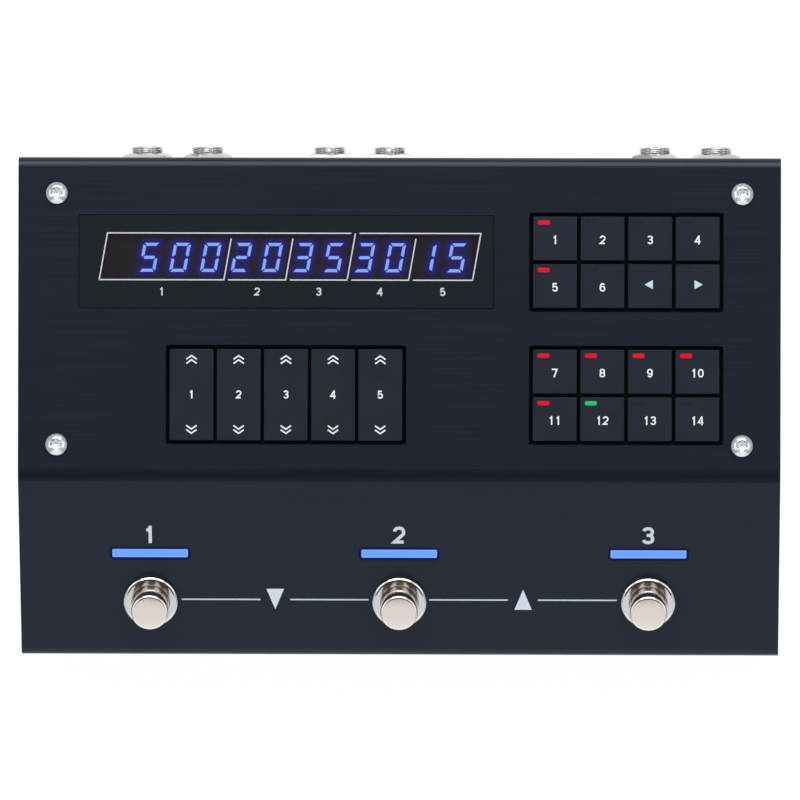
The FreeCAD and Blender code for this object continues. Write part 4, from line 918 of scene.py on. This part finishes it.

# Three light bars let into the slope: clear acrylic pipes, lit blue from the board
# below. The blue on the paint round them is painted light: an emissive rim that stands
# in for the light spilling over the edge.
slope_angle = math.radians(22.0)
apex = (-26.1, 65.0)
slope_axes = np.array([(1.0, 0.0, 0.0),
                       (0.0, math.cos(slope_angle), math.sin(slope_angle)),
                       (0.0, -math.sin(slope_angle), math.cos(slope_angle))])
slope_origin = (0.0, *apex)
bar_spacing = 86.9
bar_columns = (-bar_spacing, 0.0, bar_spacing)
bar_s = -29.5
bar_size = (26.5, 3.2)
spill_width = 0.85
spill_rise = 0.02
lit_bar, tree, shader, place = finish("lit_blue_light_bar", "20305a", 0.3)
across = add(tree, "ShaderNodeSeparateXYZ", [place]).outputs["X"]
from_middle = add(tree, "ShaderNodeMath", [across, bar_spacing / 2000],
                  operation="PINGPONG").outputs[0]
along_slope = add(tree, "ShaderNodeVectorMath", [place, tuple(slope_axes[1])],
                  operation="DOT_PRODUCT").outputs["Value"]
bar_level = (np.array(slope_origin) @ slope_axes[1] + bar_s) / 1000
from_level = add(tree, "ShaderNodeMath", [along_slope, bar_level], operation="SUBTRACT")
from_level = add(tree, "ShaderNodeMath", [from_level.outputs[0]],
                 operation="ABSOLUTE").outputs[0]
from_edges = []
for off, size in zip((from_middle, from_level), bar_size):
    millimetres_in = add(tree, "ShaderNodeMapRange", {
        "Value": off, "From Min": size / 2000, "From Max": size / 2000 - 0.001})
    from_edges.append(millimetres_in.outputs["Result"])
nearest = add(tree, "ShaderNodeMath", from_edges, operation="MINIMUM").outputs[0]
lit_through(tree, shader, [(0.05, "4d78d6"), (0.3, "7ca6ff"), (0.75, "5b98f7")],
            field=nearest)
dress(lit_bar, "light_bars")

# Painted light: the rim's emission runs from deep blue at the bar's edge to a dim grey at
# its outer edge, where it meets the paint.
painted_spill, tree, shader, place = finish(
    "painted_blue_spill_on_lacquer", "03050c", 0.45, Specular_IOR_Level=0.05)
lit_through(tree, shader, [(0.0, "12161f"), (1.0, "030f58")])
painted_spills = []
for x in bar_columns:
    rings = []
    for grow, z, tone in ((0.06, -print_sink, 0.0), (0.06, spill_rise, 1.0),
                          (spill_width * 0.5, spill_rise, 0.7),
                          (spill_width, spill_rise * 0.6, 0.0),
                          (spill_width, -print_sink, 0.0)):
        outline = rounded_rectangle(bar_size[0] + 2 * grow, bar_size[1] + 2 * grow,
                                    0.5 + grow)
        rings.append(np.column_stack([outline, np.full(len(outline), z),
                                      np.full(len(outline), tone)]))
    middle = np.array(slope_origin) + np.array([x, bar_s, 0.0]) @ slope_axes
    painted_spills.append(placed(shell(np.stack(rings), True), middle, slope_axes))
piece("light_bar_painted_spill", painted_spills, painted_spill, "chassis")

# Print on the slope: a plain number over each light bar, lines between the switches,
# and a triangle in the middle of each line, in pale grey ink.
slope_ink, tree, shader, place = finish("pale_blue_grey_screen_ink", "bcc8d6", 0.5)
patterned(tree, shader, colour=(grain(tree, place, 0.8), "b7c3d2", "c2cdda"),
          relief=(grain(tree, place, 0.3), 0.005))
bar_number_columns = (-87.0, 0.0, 86.7)
bar_number_s = -22.4
bar_number_height = 6.4
bar_number_stroke = 1.15
line_ends = ((-76.1, -48.6), (-38.1, -10.8), (10.4, 37.9), (48.4, 75.95))
line_s = -46.95
line_width = 0.5
triangles = ([(-46.45, -42.9), (-43.4, -50.6), (-40.3, -42.9)],
             [(40.2, -50.6), (46.25, -50.6), (43.2, -43.0)])
low, high = -print_sink, print_rise
slope_print = []
for index, x in enumerate(bar_number_columns):
    slope_print += number(str(index + 1), x, bar_number_s, bar_number_height,
                          bar_number_stroke, low, high)
for start, stop in line_ends:
    slope_print.append(ribbon([(start, line_s), (stop, line_s)], line_width, low, high))
slope_print += [plate(corners, low, high) for corners in triangles]
piece("slope_print", [placed(shape, slope_origin, slope_axes) for shape in slope_print],
      slope_ink, "chassis")

# Three foot switches: a nickel plated round plunger in a threaded bushing, held by a
# turned dress nut with a bevelled flange. The plating is bright, with fine turning
# marks left under it.
plunger_radius = 6.5
plunger_top = 11.0
plunger_edge = 0.9
plunger_foot = -15.8
plunger_collar_top = -14.1
plunger_collar_radius = 7.4
switch_s = -47.5
switch_steps = 128
bright_nickel, tree, shader, place = finish(
    "bright_nickel_plate", "cfd0d2", 0.1, Metallic=1.0)
patterned(tree, shader, roughness=(grain(tree, place, 1.2), 0.06, 0.1),
          relief=(grain(tree, place, 0.3), 0.0008))
satin_nickel, tree, shader, place = finish(
    "satin_nickel_plate", "dfd7cf", 0.14, Metallic=1.0)
patterned(tree, shader, roughness=(grain(tree, place, 2.0), 0.1, 0.14),
          relief=(grain(tree, place, 0.35), 0.001))
plunger_profile = rounded(
    [(0.0, plunger_foot), (plunger_collar_radius, plunger_foot),
     (plunger_collar_radius, plunger_collar_top), (plunger_radius, plunger_collar_top),
     (plunger_radius, plunger_top), (0.0, plunger_top)],
    [0, 0.3, 0.3, 0, plunger_edge, 0], 9)
nut_profile = rounded(
    [(8.05, 0.7), (8.05, 0.0), (9.4, 0.0), (9.4, 1.5), (8.95, 1.9), (8.4, 2.0),
     (6.65, 2.0), (6.65, 1.45), (8.05, 1.45), (8.05, 0.7)],
    [0, 0.1, 0.1, 0.2, 0.2, 0.3, 0.08, 0, 0, 0], 7)
# A thin black ring in the gap between each plunger and its nut is painted shade: it stands
# for the shadow down that gap.
gap_shade_profile = [(6.52, 1.5), (6.65, 1.5), (6.65, 1.85), (6.52, 1.85)]
nuts, gap_shade_rings = [], []
for side, x in zip(("left", "middle", "right"), bar_columns):
    origin = np.array(slope_origin) + np.array([x, switch_s, 0.0]) @ slope_axes
    node = f"footswitch_plunger_{side}"
    round_shape = shell(turned(plunger_profile, switch_steps))
    plunger = piece(f"plunger_{side}", [placed(round_shape, origin, slope_axes)],
                    satin_nickel, node)
    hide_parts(node)
    for group, profile in ((nuts, nut_profile[:-1]), (gap_shade_rings, gap_shade_profile)):
        round_shape = shell(turned(profile, switch_steps), True)
        group.append(placed(round_shape, origin, slope_axes))
dress_nuts = piece("dress_nuts", nuts, bright_nickel, "chassis")
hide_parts("footswitch_nuts")
# The black ring's colour is painted shade for the shadowed gap round the plunger.
gap_shade_ring, tree, shader, place = finish("black_painted_gap_shade", "08080a", 0.6)
patterned(tree, shader, roughness=(grain(tree, place, 0.6), 0.5, 0.7))
piece("bushing_gap_painted_shade", gap_shade_rings, gap_shade_ring, "chassis")

# Rear panel: six quarter inch jacks with threaded noses, hexagon nuts and washers. The
# noses and nuts are bright nickel on brass. Plain white numbers stand above them.
jack_columns = (-89.3, -68.0, -25.1, -4.0, 89.2, 110.6)
jack_z = 28.0
jack_tip_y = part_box("jack_bushings")[1][1] * 1000
rear_axes = np.array([(-1.0, 0.0, 0.0), (0.0, 0.0, 1.0), (0.0, 1.0, 0.0)])
thread_radius = 5.6
shank_radius = 5.5
thread_depth = 0.55
thread_pitch = 0.8
nose_bore = 3.25
nut_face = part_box("jack_nuts")[1][1] * 1000 - jack_tip_y
nose_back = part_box("jack_bushings")[0][1] * 1000 - jack_tip_y
panel_print_y = 84.45
panel_number_z = 42.5
panel_number_height = 3.6
panel_number_stroke = 0.6


def threaded_nose(steps=96):
    """The bore and shank are turned. On the nose the radius is a zigzag of the height less
    the pitch times the share of a turn, so the ridge climbs a pitch each time round."""
    angle = np.arange(steps) * 2 * math.pi / steps
    heights = np.arange(nut_face, -0.15, thread_pitch / 10)
    phase = (heights[:, None] / thread_pitch - angle / (2 * math.pi)) % 1.0
    ridge = 1 - np.abs(2 * phase - 1)
    fade = np.clip((-0.1 - heights) / 0.3, 0, 1)[:, None]
    radius = thread_radius - thread_depth * (1 - np.minimum(ridge * 1.25, 1.0) * fade)
    thread = np.stack([radius * np.cos(angle), radius * np.sin(angle),
                       np.broadcast_to(heights[:, None], radius.shape)], -1)
    start = turned([(nose_bore, -0.5), (nose_bore, nose_back), (shank_radius, nose_back),
                    (shank_radius, nut_face - 0.05)], steps)
    root = thread_radius - thread_depth
    stop = turned([(root, -0.05), (root - 0.1, 0.0), (nose_bore + 0.5, 0.0),
                   (nose_bore + 0.2, -0.12)], steps)
    return shell(np.concatenate([start, thread, stop]), True)


nose = threaded_nose()
noses = piece("jack_noses", [placed(nose, (x, jack_tip_y, jack_z), rear_axes)
                             for x in jack_columns],
              bright_nickel, "chassis")
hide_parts("jack_bushings")
dress(bright_nickel, "jack_nuts")
panel_ink, tree, shader, place = finish("white_panel_ink", "d9dde2", 0.5)
patterned(tree, shader, colour=(grain(tree, place, 0.8), "d3d7dd", "dfe3e8"))
low, high = -print_sink, print_rise
panel_print = []
for index, x in enumerate(jack_columns):
    panel_print += [placed(shape, (x, panel_print_y, 0.0), rear_axes) for shape in
                    number(str(index + 1), 0.0, panel_number_z, panel_number_height,
                           panel_number_stroke, low, high)]
piece("panel_numbers", panel_print, panel_ink, "chassis")

button_abs, tree, shader, place = finish("moulded_black_abs", "17181b", 0.4)
patterned(tree, shader, colour=(grain(tree, place, 2.0), "151619", "1b1c20"),
          relief=(grain(tree, place, 0.25), 0.008))
dress(button_abs, "power_button")
